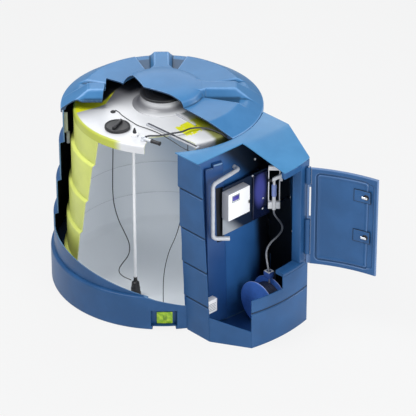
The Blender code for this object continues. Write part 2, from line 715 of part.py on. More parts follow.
def sight_glass():
    """The pocket in the base with its sight panel, over the notch in the foot."""
    start, sweep = POCKET_ANGLES
    low, high = POCKET_HEIGHTS
    wall = 0.006
    turn = 0.4
    reach = RING_RADII[0] + 0.1
    # The base's wall has flat facets, so the pocket's face lies on their middles
    face = (RING_RADII[0] - BUND_WALL) * math.cos(math.radians(180 / BASE_STEPS)) - GAP
    back = face - POCKET_DEPTH
    deep = RING_RADII[0] - NOTCH_DEPTH
    foot = BUND_WALL + GAP
    floor = low - wall
    profile = ((deep - wall, foot), (face - 0.008, foot), (face, foot + 0.008), (face, high + wall), (back, high + wall), (back, floor + 0.03), (deep - wall, floor + wall))
    pocket = sector("sight_pocket", profile, start - turn, sweep + 2 * turn, 4)
    boolean(pocket, sector("pocket_hollow", ((back + wall, low), (reach, low), (reach, high), (back + wall, high)), start, sweep, 4))
    boolean(pocket, sector("notch_hollow", ((deep, -0.1), (reach, -0.1), (reach, NOTCH_TOP), (deep, NOTCH_TOP)), *NOTCH_ANGLES, 4))
    keep(pocket, bund_blue())
    inner = back + wall + GAP
    panel = sector("sight_panel", ((inner, low + 0.008), (inner + 0.012, low + 0.008), (inner + 0.012, high - 0.040), (inner, high - 0.040)), start + 2.8, sweep - 5.0, 4)
    keep(panel, tank_yellow())


def groove_cutters(name, side, depth_low):
    """Thin boxes that cut the ring joints into a flank's outer face."""
    x0, x1 = sorted((side * (CAB_HALF - depth_low), side * (CAB_HALF + 0.05)))
    boxes = [box(f"{name}_{i}", (x0, -1.5, z - GROOVE_HEIGHT / 2), (x1, -0.7, z + GROOVE_HEIGHT / 2)) for i, z in enumerate(RING_JOINTS)]
    return joined(name, boxes)


def flank(name, side, rear):
    top = CAB_TOP - CAB_WALL - GAP
    clear = BUND_WALL + GAP
    outline = [(flank_front(0.0), 0.0)]
    base_edge = -math.sqrt((RING_RADII[0] + 2 * GAP) ** 2 - (CAB_HALF - CAB_WALL) ** 2)
    outline += [(base_edge, 0.0), (base_edge, clear)]
    levels = (clear, *RING_JOINTS, top)
    for i, y in enumerate(rear):
        outline += [(-y, levels[i]), (-y, levels[i + 1])]
    outline += [(max(flank_front(top), -CAB_TOP_BREAK), top)]
    low, high = sorted((side * (CAB_HALF - CAB_WALL), side * CAB_HALF))
    obj = plate(name, outline, "YZ", low, high)
    boolean(obj, groove_cutters(name + "_grooves", side, GROOVE_DEPTH))
    return keep(obj, bund_blue())


def loft(name, rings):
    """Solid through rings of points, each with as many points as the next."""
    bm = bmesh.new()
    rows = [[bm.verts.new(point) for point in ring] for ring in rings]
    count = len(rows[0])
    for lower, upper in zip(rows, rows[1:]):
        for i in range(count):
            j = (i + 1) % count
            bm.faces.new((lower[i], lower[j], upper[j], upper[i]))
    bm.faces.new(rows[0])
    bm.faces.new(rows[-1])
    return mesh_object(name, bm)


def chamfer_points(side, z):
    """Plan of the flat wall between a flank and the curved front: outer back, outer front, inner front, inner back."""
    back = Vector((side * CAB_HALF, flank_front(z) - GAP))
    radial = Vector((-side * FRONT_HALF, -front_y(FRONT_HALF))).normalized()
    front = Vector((side * FRONT_HALF, front_y(FRONT_HALF))) + Vector((side * radial.y, abs(radial.x))) * GAP
    along = (front - back).normalized()
    inward = Vector((-side * abs(along.y), abs(along.x)))
    inner_front = front + radial * (CAB_WALL / radial.dot(inward))
    inner_back = back - Vector((side * CAB_WALL / abs(along.y), 0.0))
    return back, front, inner_front, inner_back


def chamfer_wall(name, side, top_back, top_front):
    rings = []
    levels = 5
    for i in range(levels + 1):
        z_back, z_front = top_back * i / levels, top_front * i / levels
        back, _, _, inner_back = chamfer_points(side, z_back)
        _, front, inner_front, _ = chamfer_points(side, z_front)
        rings.append([(*back, z_back), (*front, z_front), (*inner_front, z_front), (*inner_back, z_back)])
    return loft(name, rings)


def cabinet_shell():
    flank("cabinet_left_flank", -1, FLANK_REAR)
    flank("cabinet_right_flank", 1, FLANK_REAR)

    top_z = CAB_TOP - CAB_WALL - GAP
    left = chamfer_wall("cabinet_left_chamfer", -1, *CHAMFER_CUT)
    keep(left, bund_blue())
    front_top = cab_top(-FRONT_RADIUS) - CAB_WALL - GAP
    right = chamfer_wall("cabinet_right_chamfer", 1, top_z, front_top)
    keep(right, bund_blue())

    # Curved front below the door: cut low on the left, up to the sill on the right
    half = math.degrees(math.asin(FRONT_HALF / FRONT_RADIUS))
    inner = FRONT_RADIUS - CAB_WALL
    def front(name, start, end, low, high, steps):
        return sector(name, ((inner, low), (FRONT_RADIUS, low), (FRONT_RADIUS, high), (inner, high)), start, end - start, steps)
    groove = sector("front_groove", ((FRONT_RADIUS - GROOVE_DEPTH, 0.394), (FRONT_RADIUS + 0.05, 0.394), (FRONT_RADIUS + 0.05, 0.406), (FRONT_RADIUS - GROOVE_DEPTH, 0.406)), 250, 40, 20)
    left_front = front("cabinet_front_left", 270 - half, 270 - 0.01, 0.0, FRONT_CUT, 8)
    boolean(left_front, groove)
    keep(left_front, bund_blue())
    right_front = front("cabinet_front_right", 270 + 0.01, 270 + half, 0.0, SILL_TOP - 0.045 - GAP, 8)
    boolean(right_front, sector("front_groove_right", ((FRONT_RADIUS - GROOVE_DEPTH, 0.394), (FRONT_RADIUS + 0.05, 0.394), (FRONT_RADIUS + 0.05, 0.406), (FRONT_RADIUS - GROOVE_DEPTH, 0.406)), 250, 40, 20))
    keep(right_front, bund_blue())

    # Sill, jamb and header round the doorway; the left jamb is cut away
    sill = sector("door_sill", ((SILL_INNER, SILL_TOP - 0.045), (FRONT_RADIUS, SILL_TOP - 0.045), (FRONT_RADIUS, SILL_TOP - 0.012), (FRONT_RADIUS - 0.03, SILL_TOP), (SILL_INNER, SILL_TOP)), 270.01, half - 0.01, 8)
    keep(sill, bund_blue())
    start = 270 + math.degrees(math.asin(OPENING_HALF / FRONT_RADIUS))
    end = 270 + half
    low, high = SILL_TOP + GAP, front_top
    jamb = sector("door_jamb", ((SILL_INNER, low), (FRONT_RADIUS, low), (FRONT_RADIUS, high), (SILL_INNER, high)), start, end - start, 4)
    hollow = sector("jamb_hollow", ((SILL_INNER + 0.02, low - 0.1), (FRONT_RADIUS - 0.02, low - 0.1), (FRONT_RADIUS - 0.02, high + 0.1), (SILL_INNER + 0.02, high + 0.1)), start + 0.5, end - start - 1.2, 4)
    boolean(jamb, hollow)
    blocks = [box(f"hinge_block_{i}", (HINGE_X - BLOCK_HALF, HINGE_Y - BLOCK_HALF, z0), (HINGE_X + BLOCK_HALF, HINGE_Y + 0.034, z1)) for i, (z0, z1) in enumerate(BLOCKS)]
    union(jamb, [joined("hinge_blocks", blocks)])
    noses = [rod(f"hinge_nose_{i}", (HINGE_X, HINGE_Y, z0), (HINGE_X, HINGE_Y, z1), BLOCK_ROUND, 32) for i, (z0, z1) in enumerate(BLOCKS)]
    union(jamb, [joined("hinge_noses", noses)])
    boolean(jamb, rod("pin_bore", (HINGE_X, HINGE_Y, 0.5), (HINGE_X, HINGE_Y, 2.2), PIN_RADIUS + PIN_PLAY, 24))
    keep(jamb, bund_blue())
    header = sector("door_header", ((SILL_INNER + 0.06, HEADER_BOTTOM), (FRONT_RADIUS, HEADER_BOTTOM), (FRONT_RADIUS, front_top), (SILL_INNER + 0.06, front_top)), 270.01, start - 270.02, 6)
    keep(header, bund_blue())

    # Top: flat at the back, falling to the front, its edges on the walls below
    slope = [(-0.60, CAB_TOP), (-CAB_TOP_BREAK, CAB_TOP), (-1.9, cab_top(-1.9))]
    side = [(y, z) for y, z in slope] + [(y, z - CAB_WALL) for y, z in reversed(slope)]
    top = plate("cabinet_top", side, "YZ", -CAB_HALF, CAB_HALF)
    arc = [polar(CAB_REAR_RADIUS, a) for a in range(234, 307, 4)]
    reach = CAB_HALF
    rear = [(-reach, -math.sqrt(CAB_REAR_RADIUS ** 2 - reach ** 2))] + [p for p in arc if abs(p[0]) < reach] + [(reach, -math.sqrt(CAB_REAR_RADIUS ** 2 - reach ** 2))]
    front_arc = [polar(FRONT_RADIUS, 270 + half * (1 - 2 * i / 11)) for i in range(12)]
    outline = rear + [(reach, flank_front(CAB_TOP))] + front_arc + [(-reach, flank_front(CAB_TOP))]
    boolean(top, plate("top_outline", outline, "XY", 1.5, 2.2), "INTERSECT")
    boolean(top, box("top_cut", (-1.0, -2.2, 1.5), (0.0, -CAB_CUT_Y, 2.3)))
    keep(top, bund_blue())

    # Floor between the walls
    edge = CAB_HALF - CAB_WALL - GAP
    _, _, inner_front, inner_back = chamfer_points(1, 0.0)
    side_x, side_y = inner_back.x - 2 * GAP, flank_front(0.0)
    nose_x, nose_y = inner_front.x - 3 * GAP, inner_front.y + GAP
    bend = math.degrees(math.asin(nose_x / (inner - GAP))) - 0.6
    nose = [polar(inner - GAP, 270 + bend * (1 - i / 6)) for i in range(13)]
    outline = [(-edge, -0.95), (-edge, side_y + 10 * GAP), (-side_x, side_y), (-nose_x, nose_y)] + nose[::-1]
    outline += [(nose_x, nose_y), (side_x, side_y), (edge, side_y + 10 * GAP), (edge, -0.95)]
    floor = plate("cabinet_floor", outline, "XY", 0.0, CAB_WALL)
    boolean(floor, rod("floor_round", (0, 0, -0.1), (0, 0, 0.1), RING_RADII[0] + 0.0006, 144))
    keep(floor, bund_blue())


def compartment():
    low = BUND_WALL + 2 * GAP
    top = CAB_TOP - CAB_WALL - GAP
    r0, r1 = comp_radius(low), comp_radius(top)
    wall = sector("compartment_wall", ((r0 - CAB_WALL, low), (r0, low), (r1, top), (r1 - CAB_WALL, top)), 236, 68, 24)
    limit = CAB_HALF - CAB_WALL - GAP
    boolean(wall, box("comp_limit", (-limit, -1.6, 0.0), (limit, -0.5, 2.1)), "INTERSECT")
    keep(wall, bund_blue())
    a0, a1 = DUCT_ANGLES
    z0, z1 = 0.030, DUCT_TOP
    profile = (
        (comp_radius(z0) + GAP, z0), (comp_radius(z0) + DUCT_DEPTH, z0),
        (comp_radius(z1) + DUCT_DEPTH, z1 - 0.03), (comp_radius(z1) + GAP, z1),
    )
    duct = sector("wall_duct", profile, a0, a1 - a0, 6)
    rz = comp_radius(1.2) + DUCT_DEPTH
    slot = sector("duct_slot", ((rz - 0.020, 0.93), (rz + 0.1, 0.93), (rz + 0.1, 1.53), (rz - 0.020, 1.53)), 256.3, 2.9, 3)
    boolean(duct, slot)
    keep(duct, bund_blue())


CONTROLLER = ((-0.262, 0.033), (1.207, 1.507), 0.100)
COVER_DEPTH = 0.024
PLATE_Y = -(comp_radius(1.27) + 0.044)
PLATE_SPAN = ((-0.245, 0.392), (1.000, 1.535))


def equipment():
    (x0, x1), (z0, z1) = PLATE_SPAN
    back = box("mounting_plate", (x0, PLATE_Y - 0.008, z0), (x1, PLATE_Y, z1))
    studs = []
    for x in (-0.150, 0.340):
        for z in (z0 + 0.05, z1 - 0.05):
            r = 0.011
            end = comp_face(max(abs(x) - r, 0.0), z - 0.2 * r) - GAP
            studs.append(rod(f"stud_{x}_{z}", (x, PLATE_Y - 0.004, z), (x, end, z), r, 16))
    union(back, [joined("plate_studs", studs)])
    keep(back, bracket_grey())

    (x0, x1), (z0, z1), depth = CONTROLLER
    face = PLATE_Y - 0.008 - GAP
    case = box("controller_box", (x0, face - depth, z0), (x1, face, z1))
    baked(rounded(case, 0.006))
    boolean(case, box("display_cut", (x0 + 0.05, face - depth - 0.01, z1 - 0.105), (x0 + 0.145, face - depth + 0.004, z1 - 0.035)))
    glands = [rod(f"gland_{i}", (x0 + 0.07 + 0.12 * i, face - depth / 2, z0 + 0.01), (x0 + 0.07 + 0.12 * i, face - depth / 2, z0 - 0.03), 0.012, 16) for i in range(2)]
    union(case, [joined("glands", glands)])
    keep(case, fitting_white())

    cover = box("instrument_cover", (0.152, face - COVER_DEPTH, 1.020), (0.386, face, 1.520))
    keep(rounded(cover, 0.010, 3), material("smoked_cover", (0.10, 0.08, 0.30), 0.2))

    # White return pipe in front of the duct
    z_high = 1.672
    reach = 0.060
    near = PLATE_Y - 0.033
    start = (-0.025, comp_face(0.0, z_high - 0.03) - GAP, z_high)
    points = [
        start, (-0.030, start[1] - reach, z_high), (-0.050, start[1] - reach - 0.010, z_high),
        (-0.370, near, 1.655), (-0.400, near, 1.640), (-0.407, near, 1.605),
        (-0.407, near, 1.085), (-0.402, near - 0.004, 1.055), (-0.380, near - 0.020, 1.042), (-0.268, near - 0.095, 1.030),
    ]
    keep(tube("return_pipe", points, 0.022, 4), fitting_white())

    # Socket box on the left flank, just inside its front edge
    x0 = -(CAB_HALF - CAB_WALL) + GAP
    y = flank_front(0.36) + 0.020
    socket = box("socket_box", (x0, y, 0.285), (x0 + 0.132, y + 0.070, 0.435))
    keep(rounded(socket, 0.006), fitting_white())


HOLSTER = (0.377, PLATE_Y - 0.098)
HOLSTER_TURN = -45.0         # degrees, the holster looks towards the doorway's free side
NOZZLE_FOOT = 1.088


def nozzle_and_holster():
    x, y = HOLSTER
    turn = Matrix.Translation((x, y, 0)) @ Matrix.Rotation(math.radians(HOLSTER_TURN), 4, "Z")
    def local(name, low, high):
        """A box given in the holster's own frame: x across it, -y out of it."""
        made = box(name, low, high)
        made.data.transform(turn)
        return made
    lower = local("nozzle_holster", (-0.061, -0.026, NOZZLE_FOOT + 0.020), (0.061, 0.026, NOZZLE_FOOT + 0.095))
    upper = local("holster_top", (-0.061, -0.010, NOZZLE_FOOT + 0.450), (0.061, 0.026, NOZZLE_FOOT + 0.496))
    rails = [local(f"rail_{i}", (px - 0.005, 0.012, NOZZLE_FOOT + 0.08), (px + 0.005, 0.024, NOZZLE_FOOT + 0.46)) for i, px in enumerate((-0.0545, 0.0545))]
    arm = box("holster_arm", (x + 0.003, y - 0.002, NOZZLE_FOOT + 0.0353), (CAB_HALF - CAB_WALL - GAP, y + 0.018, NOZZLE_FOOT + 0.0653))
    union(lower, [upper] + rails + [arm])
    boolean(lower, rod("holster_bore", (x, y, NOZZLE_FOOT - 0.06), (x, y, NOZZLE_FOOT + 0.14), 0.0193, 24))
    keep(lower, fitting_white())
    body = rod("nozzle", (x, y, NOZZLE_FOOT), (x, y, NOZZLE_FOOT + 0.3673), 0.0188, 24)
    grip = rod("nozzle_grip", (x, y, NOZZLE_FOOT + 0.155), (x, y, NOZZLE_FOOT + 0.285), 0.0255, 24)
    handle = local("nozzle_head", (-0.020, -0.022, NOZZLE_FOOT + 0.335), (0.100, 0.008, NOZZLE_FOOT + 0.375))
    for vertex in handle.data.vertices:
        vertex.co.z += 0.5 * ((vertex.co.x - x) * 0.7071 - (vertex.co.y - y) * 0.7071)
    spout = local("nozzle_spout", (-0.062, -0.015, NOZZLE_FOOT + 0.323), (0.001, 0.003, NOZZLE_FOOT + 0.3535))
    tip = local("nozzle_tip", (0.052, -0.019, NOZZLE_FOOT + 0.331), (0.085, 0.005, NOZZLE_FOOT + 0.382))
    union(body, [grip, handle, spout, tip])
    keep(body, fitting_white())


def hose_reel():
    y, z = REEL_Y, REEL_Z
    def disc(name, x0, x1, r, sides=44):
        return rod(name, (x0, y, z), (x1, y, z), r, sides)
    drum = disc("reel_drum", REEL_LEFT, REEL_RIGHT, REEL_HUB, 32)
    union(drum, [disc("left_flange", REEL_LEFT, REEL_LEFT + REEL_FLANGE, REEL_RADIUS), disc("right_flange", REEL_RIGHT - REEL_FLANGE, REEL_RIGHT, REEL_RADIUS),
                 disc("hub_boss", REEL_LEFT - 0.012, REEL_LEFT + 0.004, 0.040, 24)])
    boolean(drum, disc("axle_bore", REEL_LEFT + 0.02, REEL_RIGHT + 0.05, AXLE_RADIUS + AXLE_PLAY, 32))
    keep(drum, reel_blue())
    x0, x1 = REEL_LEFT + REEL_FLANGE + 0.001, REEL_RIGHT - REEL_FLANGE - 0.001
    coil = disc("wound_hose", x0, x1, HOSE_COIL, 40)
    boolean(coil, disc("coil_bore", x0 - 0.01, x1 + 0.01, REEL_HUB + 0.0006, 40))
    keep(coil, fitting_black())

    px = REEL_RIGHT + 0.008
    foot = 2 / 3 * REEL_RADIUS
    outline = ((y - foot, CAB_WALL + GAP), (y + foot, CAB_WALL + GAP), (y + 0.06, 0.33), (y + 0.04, 0.590), (y - 0.06, 0.590), (y - 0.06, 0.33))
    bracket = plate("reel_bracket", outline, "YZ", px, px + 0.010)
    union(bracket, [disc("axle", REEL_LEFT + 0.025, px + 0.005, AXLE_RADIUS, 32)])
    keep(bracket, bracket_grey())
    guide = box("hose_guide", (GUIDE_X - 0.035, y - 0.040, 0.515), (px - GAP, y + 0.036, 0.590))
    boolean(guide, box("guide_hole", (GUIDE_X - 0.023, y - 0.028, 0.4), (GUIDE_X + 0.023, y + 0.024, 0.7)))
    keep(guide, reel_blue())


def swing(obj):
    """Swings a piece that was modelled with the door shut to where the door stands."""
    pivot = Matrix.Translation((HINGE_X, HINGE_Y, 0.0))
    for piece in [obj] + [modifier.object for modifier in obj.modifiers if modifier.type == "BOOLEAN"]:
        piece.parent = door_pivot
        piece.matrix_parent_inverse = pivot.inverted()
    return obj


def door():
    outer = DOOR_INNER + DOOR_THICK
    middle = DOOR_INNER + DOOR_THICK / 2
    def angle(x, r=middle):
        return 270 + math.degrees(math.asin(x / r))
    a0, a1 = angle(DOOR_FREE_X), angle(DOOR_HINGE_X)
    def block(name, r0, r1, margin, z_margin=None):
        inset = math.degrees(margin / middle)
        dz = margin if z_margin is None else z_margin
        return sector(name, ((r0, DOOR_BOTTOM + dz), (r1, DOOR_BOTTOM + dz), (r1, DOOR_TOP - dz), (r0, DOOR_TOP - dz)), a0 + inset, a1 - a0 - 2 * inset, 10)
    panel = block("door_panel", DOOR_INNER, outer, 0.0)
    boolean(panel, block("door_recess", DOOR_INNER - 0.02, DOOR_INNER + 0.012, DOOR_BORDER))
    plateau = block("door_plateau", DOOR_INNER + 0.004, DOOR_INNER + 0.020, DOOR_BORDER + DOOR_GROOVE)
    gap = PIN_RADIUS + PIN_PLAY
    barrels = []
    for z0, z1 in ((DOOR_BOTTOM, BLOCKS[0][0] - SWING_GAP), (BLOCKS[0][1] + SWING_GAP, BLOCKS[1][0] - SWING_GAP)):
        barrel = rod(f"barrel_{z0}", (HINGE_X, HINGE_Y, z0), (HINGE_X, HINGE_Y, z1), BARREL_RADIUS, 24)
        leaf_y = -math.sqrt(middle ** 2 - DOOR_HINGE_X ** 2)
        barrels.append(barrel)
        # A long barrel is held at its two ends, which leaves a slot beside the door
        tabs = [(z0, z1)] if z1 - z0 < 0.2 else [(z0, z0 + 0.030), (z1 - 0.030, z1)]
        barrels += [box(f"leaf_{a}", (DOOR_HINGE_X - 0.02, leaf_y - 0.008, a), (HINGE_X, leaf_y + 0.008, b)) for a, b in tabs]
    union(panel, [plateau] + barrels)
    boolean(panel, rod("door_bore", (HINGE_X, HINGE_Y, 0.4), (HINGE_X, HINGE_Y, 2.2), gap, 24))
    swing(keep(panel, bund_blue()))
    pin = rod("hinge_pin", (HINGE_X, HINGE_Y, DOOR_BOTTOM - 0.005), (HINGE_X, HINGE_Y, DOOR_TOP + 0.004), PIN_RADIUS, 24)
    union(pin, [rod("pin_head", (HINGE_X, HINGE_Y, DOOR_TOP + GAP), (HINGE_X, HINGE_Y, DOOR_TOP + 0.006), PIN_RADIUS + 0.004, 24)])
    keep(pin, steel())

    face = DOOR_INNER + 0.004 - GAP
    x0, x1 = LATCH_X
    for label, z in zip(("lower", "upper"), LATCH_HEIGHTS):
        h = LATCH_HALF_HEIGHT
        r0 = face - LATCH_THICK
        latch = sector(f"latch_plate_{label}", ((r0, z - h), (face, z - h), (face, z + h), (r0, z + h)), angle(x0, face), angle(x1, face) - angle(x0, face), 3)
        swing(keep(latch, bund_blue()))
        # The cam turns on an axis square to the door
        cx = x0 + 0.045
        radial = Vector((cx, -math.sqrt(r0 ** 2 - cx ** 2), 0)).normalized()
        foot = radial * (r0 - 0.0005 - 0.0007)
        foot.z = z
        boss = rod(f"latch_cam_{label}", foot, foot - radial * 0.018, 0.013, 20)
        bar = box(f"cam_bar_{label}", (-0.040, -0.010, 0.010), (0.018, 0.010, 0.020))
        bar.data.transform(Matrix.Translation(foot) @ (-radial).to_track_quat("Z", "Y").to_matrix().to_4x4())
        union(boss, [bar])
        swing(keep(boss, steel()))


clear_scene()
door_pivot = bpy.data.objects.new("door_pivot", None)
parts.objects.link(door_pivot)
door_pivot.location = (HINGE_X, HINGE_Y, 0.0)
door_pivot.rotation_euler = (0.0, 0.0, math.radians(DOOR_OPEN))
bund()
lid()
inner_tank()
manway()
deck_fittings()
pump()
cords()
gap_level_panel()
sight_glass()
cabinet_shell()
compartment()
equipment()
nozzle_and_holster()
hose_reel()
door()
for shape in parts.objects:
    if shape.type == "MESH":
        shape.data.shade_smooth()
        shape.data.set_sharp_from_angle(angle=math.radians(35))
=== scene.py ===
import json
import math

import bmesh
import bpy
import numpy as np
from mathutils import Matrix, Vector

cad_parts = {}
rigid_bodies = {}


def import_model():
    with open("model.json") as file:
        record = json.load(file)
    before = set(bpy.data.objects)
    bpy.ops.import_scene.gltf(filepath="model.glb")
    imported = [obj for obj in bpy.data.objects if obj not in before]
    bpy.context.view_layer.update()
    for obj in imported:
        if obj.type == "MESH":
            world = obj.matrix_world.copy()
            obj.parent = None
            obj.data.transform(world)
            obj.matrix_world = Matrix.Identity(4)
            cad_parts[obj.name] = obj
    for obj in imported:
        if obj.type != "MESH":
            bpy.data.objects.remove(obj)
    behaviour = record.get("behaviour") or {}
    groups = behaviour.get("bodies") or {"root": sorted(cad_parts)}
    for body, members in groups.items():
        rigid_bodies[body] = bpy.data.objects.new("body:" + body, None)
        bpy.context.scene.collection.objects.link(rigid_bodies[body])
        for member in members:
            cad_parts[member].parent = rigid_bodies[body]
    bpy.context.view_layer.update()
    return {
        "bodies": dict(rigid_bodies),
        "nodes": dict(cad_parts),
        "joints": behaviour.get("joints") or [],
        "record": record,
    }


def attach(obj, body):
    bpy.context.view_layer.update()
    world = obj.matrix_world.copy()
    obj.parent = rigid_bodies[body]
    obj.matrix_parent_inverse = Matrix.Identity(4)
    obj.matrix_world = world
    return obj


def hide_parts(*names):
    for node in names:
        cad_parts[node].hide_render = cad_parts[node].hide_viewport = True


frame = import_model()
scene = bpy.context.scene


# camera at the photograph's place
view = {
    "right": (0.7213, -0.6926, 0.0),
    "back": (-0.5988, -0.6237, 0.5025),
    "up": (0.3480, 0.3625, 0.8646),
    "target": (0.0, 0.0, 1.1),
    "aside": 0.459,
    "above": -0.307,
    "distance": 30.0,
    "lens": 255.48,
}


def placeCamera():
    right, back, up = Vector(view["right"]), Vector(view["back"]), Vector(view["up"])
    spot = Vector(view["target"]) + right * view["aside"] + up * view["above"] + back * view["distance"]
    cam = bpy.data.objects.new("camera", bpy.data.cameras.new("camera"))
    turn = Matrix((right.normalized(), up.normalized(), back.normalized())).transposed().to_4x4()
    cam.matrix_world = Matrix.Translation(spot) @ turn
    cam.data.lens = view["lens"]
    cam.data.sensor_width = 36.0
    cam.data.clip_end = 200.0
    scene.collection.objects.link(cam)
    scene.camera = cam
    scene.view_settings.view_transform = "Standard"


placeCamera()
print("camera placed")


# shader maths: a socket that takes +, -, *, / and a few named steps
class Wire:
    def __init__(self, tree, socket):
        self.tree, self.socket = tree, socket

    def maths(self, operation, other=None, flip=False):
        made = self.tree.nodes.new("ShaderNodeMath")
        made.operation = operation
        for slot, value in enumerate([other, self] if flip else [self, other]):
            if isinstance(value, Wire):
                self.tree.links.new(value.socket, made.inputs[slot])
            elif value is not None:
                made.inputs[slot].default_value = value
        return Wire(self.tree, made.outputs[0])

    def __add__(self, other):
        return self.maths("ADD", other)

    __radd__ = __add__

    def __sub__(self, other):
        return self.maths("SUBTRACT", other)

    def __rsub__(self, other):
        return self.maths("SUBTRACT", other, flip=True)

    def __mul__(self, other):
        return self.maths("MULTIPLY", other)

    __rmul__ = __mul__

    # 0 below low, 1 above high, smooth between
    def ramp(self, low, high):
        made = self.tree.nodes.new("ShaderNodeMapRange")
        made.interpolation_type = "SMOOTHSTEP"
        made.inputs["From Min"].default_value = low
        made.inputs["From Max"].default_value = high
        self.tree.links.new(self.socket, made.inputs["Value"])
        return Wire(self.tree, made.outputs[0])


# a material being wired up: node() adds any node, mix() blends colours, wire() feeds the shader
class Finish:
    def __init__(self, name):
        self.material = bpy.data.materials.new(name)
        self.material.use_nodes = True
        self.tree = self.material.node_tree
        self.shader = self.tree.nodes["Principled BSDF"]
        self.place = self.node("ShaderNodeTexCoord", out="Object")
        split = self.node("ShaderNodeSeparateXYZ", out=None, Vector=self.place)
        self.x, self.y, self.z = (Wire(self.tree, split.outputs[axis]) for axis in "XYZ")

    def node(self, kind, out=0, settings=None, **sockets):
        made = self.tree.nodes.new(kind)
        for key, value in (settings or {}).items():
            setattr(made, key, value)
        for key, value in sockets.items():
            target = made.inputs[key.replace("_", " ")]
            if isinstance(value, Wire):
                self.tree.links.new(value.socket, target)
            else:
                target.default_value = value
        return made if out is None else Wire(self.tree, made.outputs[out])

    def mix(self, mask, first, second):
        made = self.tree.nodes.new("ShaderNodeMix")
        made.data_type = "RGBA"
        for slot, value in ((0, mask), (6, first), (7, second)):
            if isinstance(value, Wire):
                self.tree.links.new(value.socket, made.inputs[slot])
            elif slot == 0:
                made.inputs[slot].default_value = value
            else:
                made.inputs[slot].default_value = (*value, 1.0)
        return Wire(self.tree, made.outputs[2])

    def noise(self, scale, detail=3.0):
        fixed = {"Vector": self.place, "Roughness": 0.55}
        return self.node("ShaderNodeTexNoise", "Fac", Scale=scale, Detail=detail, **fixed)

    def wire(self, **sockets):
        for key, value in sockets.items():
            target = self.shader.inputs[key.replace("_", " ")]
            if isinstance(value, Wire):
                self.tree.links.new(value.socket, target)
            elif isinstance(value, tuple) and len(value) == 3:
                target.default_value = (*value, 1.0)
            else:
                target.default_value = value
        return self

    def bump(self, height, distance, strength=1.0):
        made = self.node("ShaderNodeBump", "Normal", Height=height, Distance=distance, Strength=strength)
        self.wire(Normal=made)
        return self


finishes = {}
facePlane = -1.1303  # front of the mounting plate
ringJoints = (0.380, 0.765, 1.150, 1.585)  # heights of the joints between the moulded rings

# moulded plastics: material, colour, darker colour, roughness, other settings
mouldedLooks = {
    "blue": ("bund_plastic", (0.022, 0.092, 0.236), (0.016, 0.072, 0.190), 0.38, {"sheen": 0.35}),
    "cabinet": (
        "cabinet_plastic", (0.022, 0.092, 0.236), (0.016, 0.072, 0.190), 0.38,
        {"sheen": 0.35, "lines": ringJoints},
    ),
    "front": (
        "front_plastic", (0.024, 0.098, 0.250), (0.018, 0.077, 0.200), 0.38,
        {"sheen": 0.35, "lines": (0.400,)},
    ),
    # the lid and the cabinet top are a lighter blue than the walls: painted light on their upward faces
    "lid": ("lid_plastic", (0.056, 0.185, 0.380), (0.042, 0.154, 0.328), 0.34, {"sheen": 0.18, "recessShade": True}),
    "top": ("cabinet_top_plastic", (0.066, 0.225, 0.430), (0.050, 0.185, 0.370), 0.34, {"sheen": 0.25}),
    "inside": ("cabinet_inside", (0.020, 0.085, 0.260), (0.016, 0.070, 0.225), 0.40, {}),
    "yellow": ("tank_plastic", (0.640, 0.690, 0.160), (0.560, 0.610, 0.145), 0.45, {}),
}

# plain parts: material, colour, roughness, other settings
plainLooks = {
    # near black: painted shade in hollows and gaps, and the sight panel's dark bars
    "dark": ("dark_bars_and_painted_shade", (0.006, 0.008, 0.012), 0.70, {}),
    "shade": ("shaded_blue", (0.004, 0.010, 0.020), 0.60, {}),
    "edge": ("cut_edge_yellow", (0.62, 0.64, 0.36), 0.60, {}),
    "cut": ("cut_edge_blue", (0.090, 0.190, 0.340), 0.60, {}),
    "deepCut": ("cut_edge_shaded", (0.016, 0.045, 0.100), 0.60, {}),
    "black": ("black_plastic", (0.014, 0.014, 0.016), 0.45, {}),
    "white": ("white_plastic", (0.90, 0.90, 0.91), 0.32, {"shift": 0.03}),
    "pipe": ("pipe_plastic", (0.58, 0.60, 0.64), 0.28, {"shift": 0.05}),
    "grey": ("coated_bracket", (0.36, 0.38, 0.41), 0.45, {}),
    "troughShade": ("rail_trough_shade", (0.11, 0.115, 0.13), 0.30, {"shift": 0.1}),
    "bracketGrey": ("rail_plastic", (0.44, 0.45, 0.48), 0.22, {"shift": 0.1}),
    "pale": ("level_plastic", (0.78, 0.82, 0.76), 0.35, {"shift": 0.05}),
    "guideEdge": ("painted_highlight_blue", (0.30, 0.48, 0.72), 0.40, {"shift": 0.05}),
    "guide": ("guide_enamel", (0.050, 0.120, 0.420), 0.30, {}),
    "steel": ("bright_steel", (0.78, 0.79, 0.81), 0.16, {"metallic": 1.0, "shift": 0.05}),
    "hose": ("hose_rubber", (0.040, 0.042, 0.048), 0.50, {}),
    "reelHose": ("reel_hose_rubber", (0.016, 0.024, 0.060), 0.50, {}),
    "deliveryHose": ("delivery_hose_rubber", (0.26, 0.27, 0.29), 0.42, {}),
    "screen": ("display_glass", (0.10, 0.08, 0.42), 0.12, {"shift": 0.3}),
    "bezel": ("display_bezel", (0.33, 0.35, 0.42), 0.30, {}),
    "gripBlue": ("grip_plastic", (0.35, 0.45, 0.85), 0.30, {}),
}


def scaled(colour, by, lift=0.0):
    return tuple(min(1.0, value * by + lift) for value in colour)


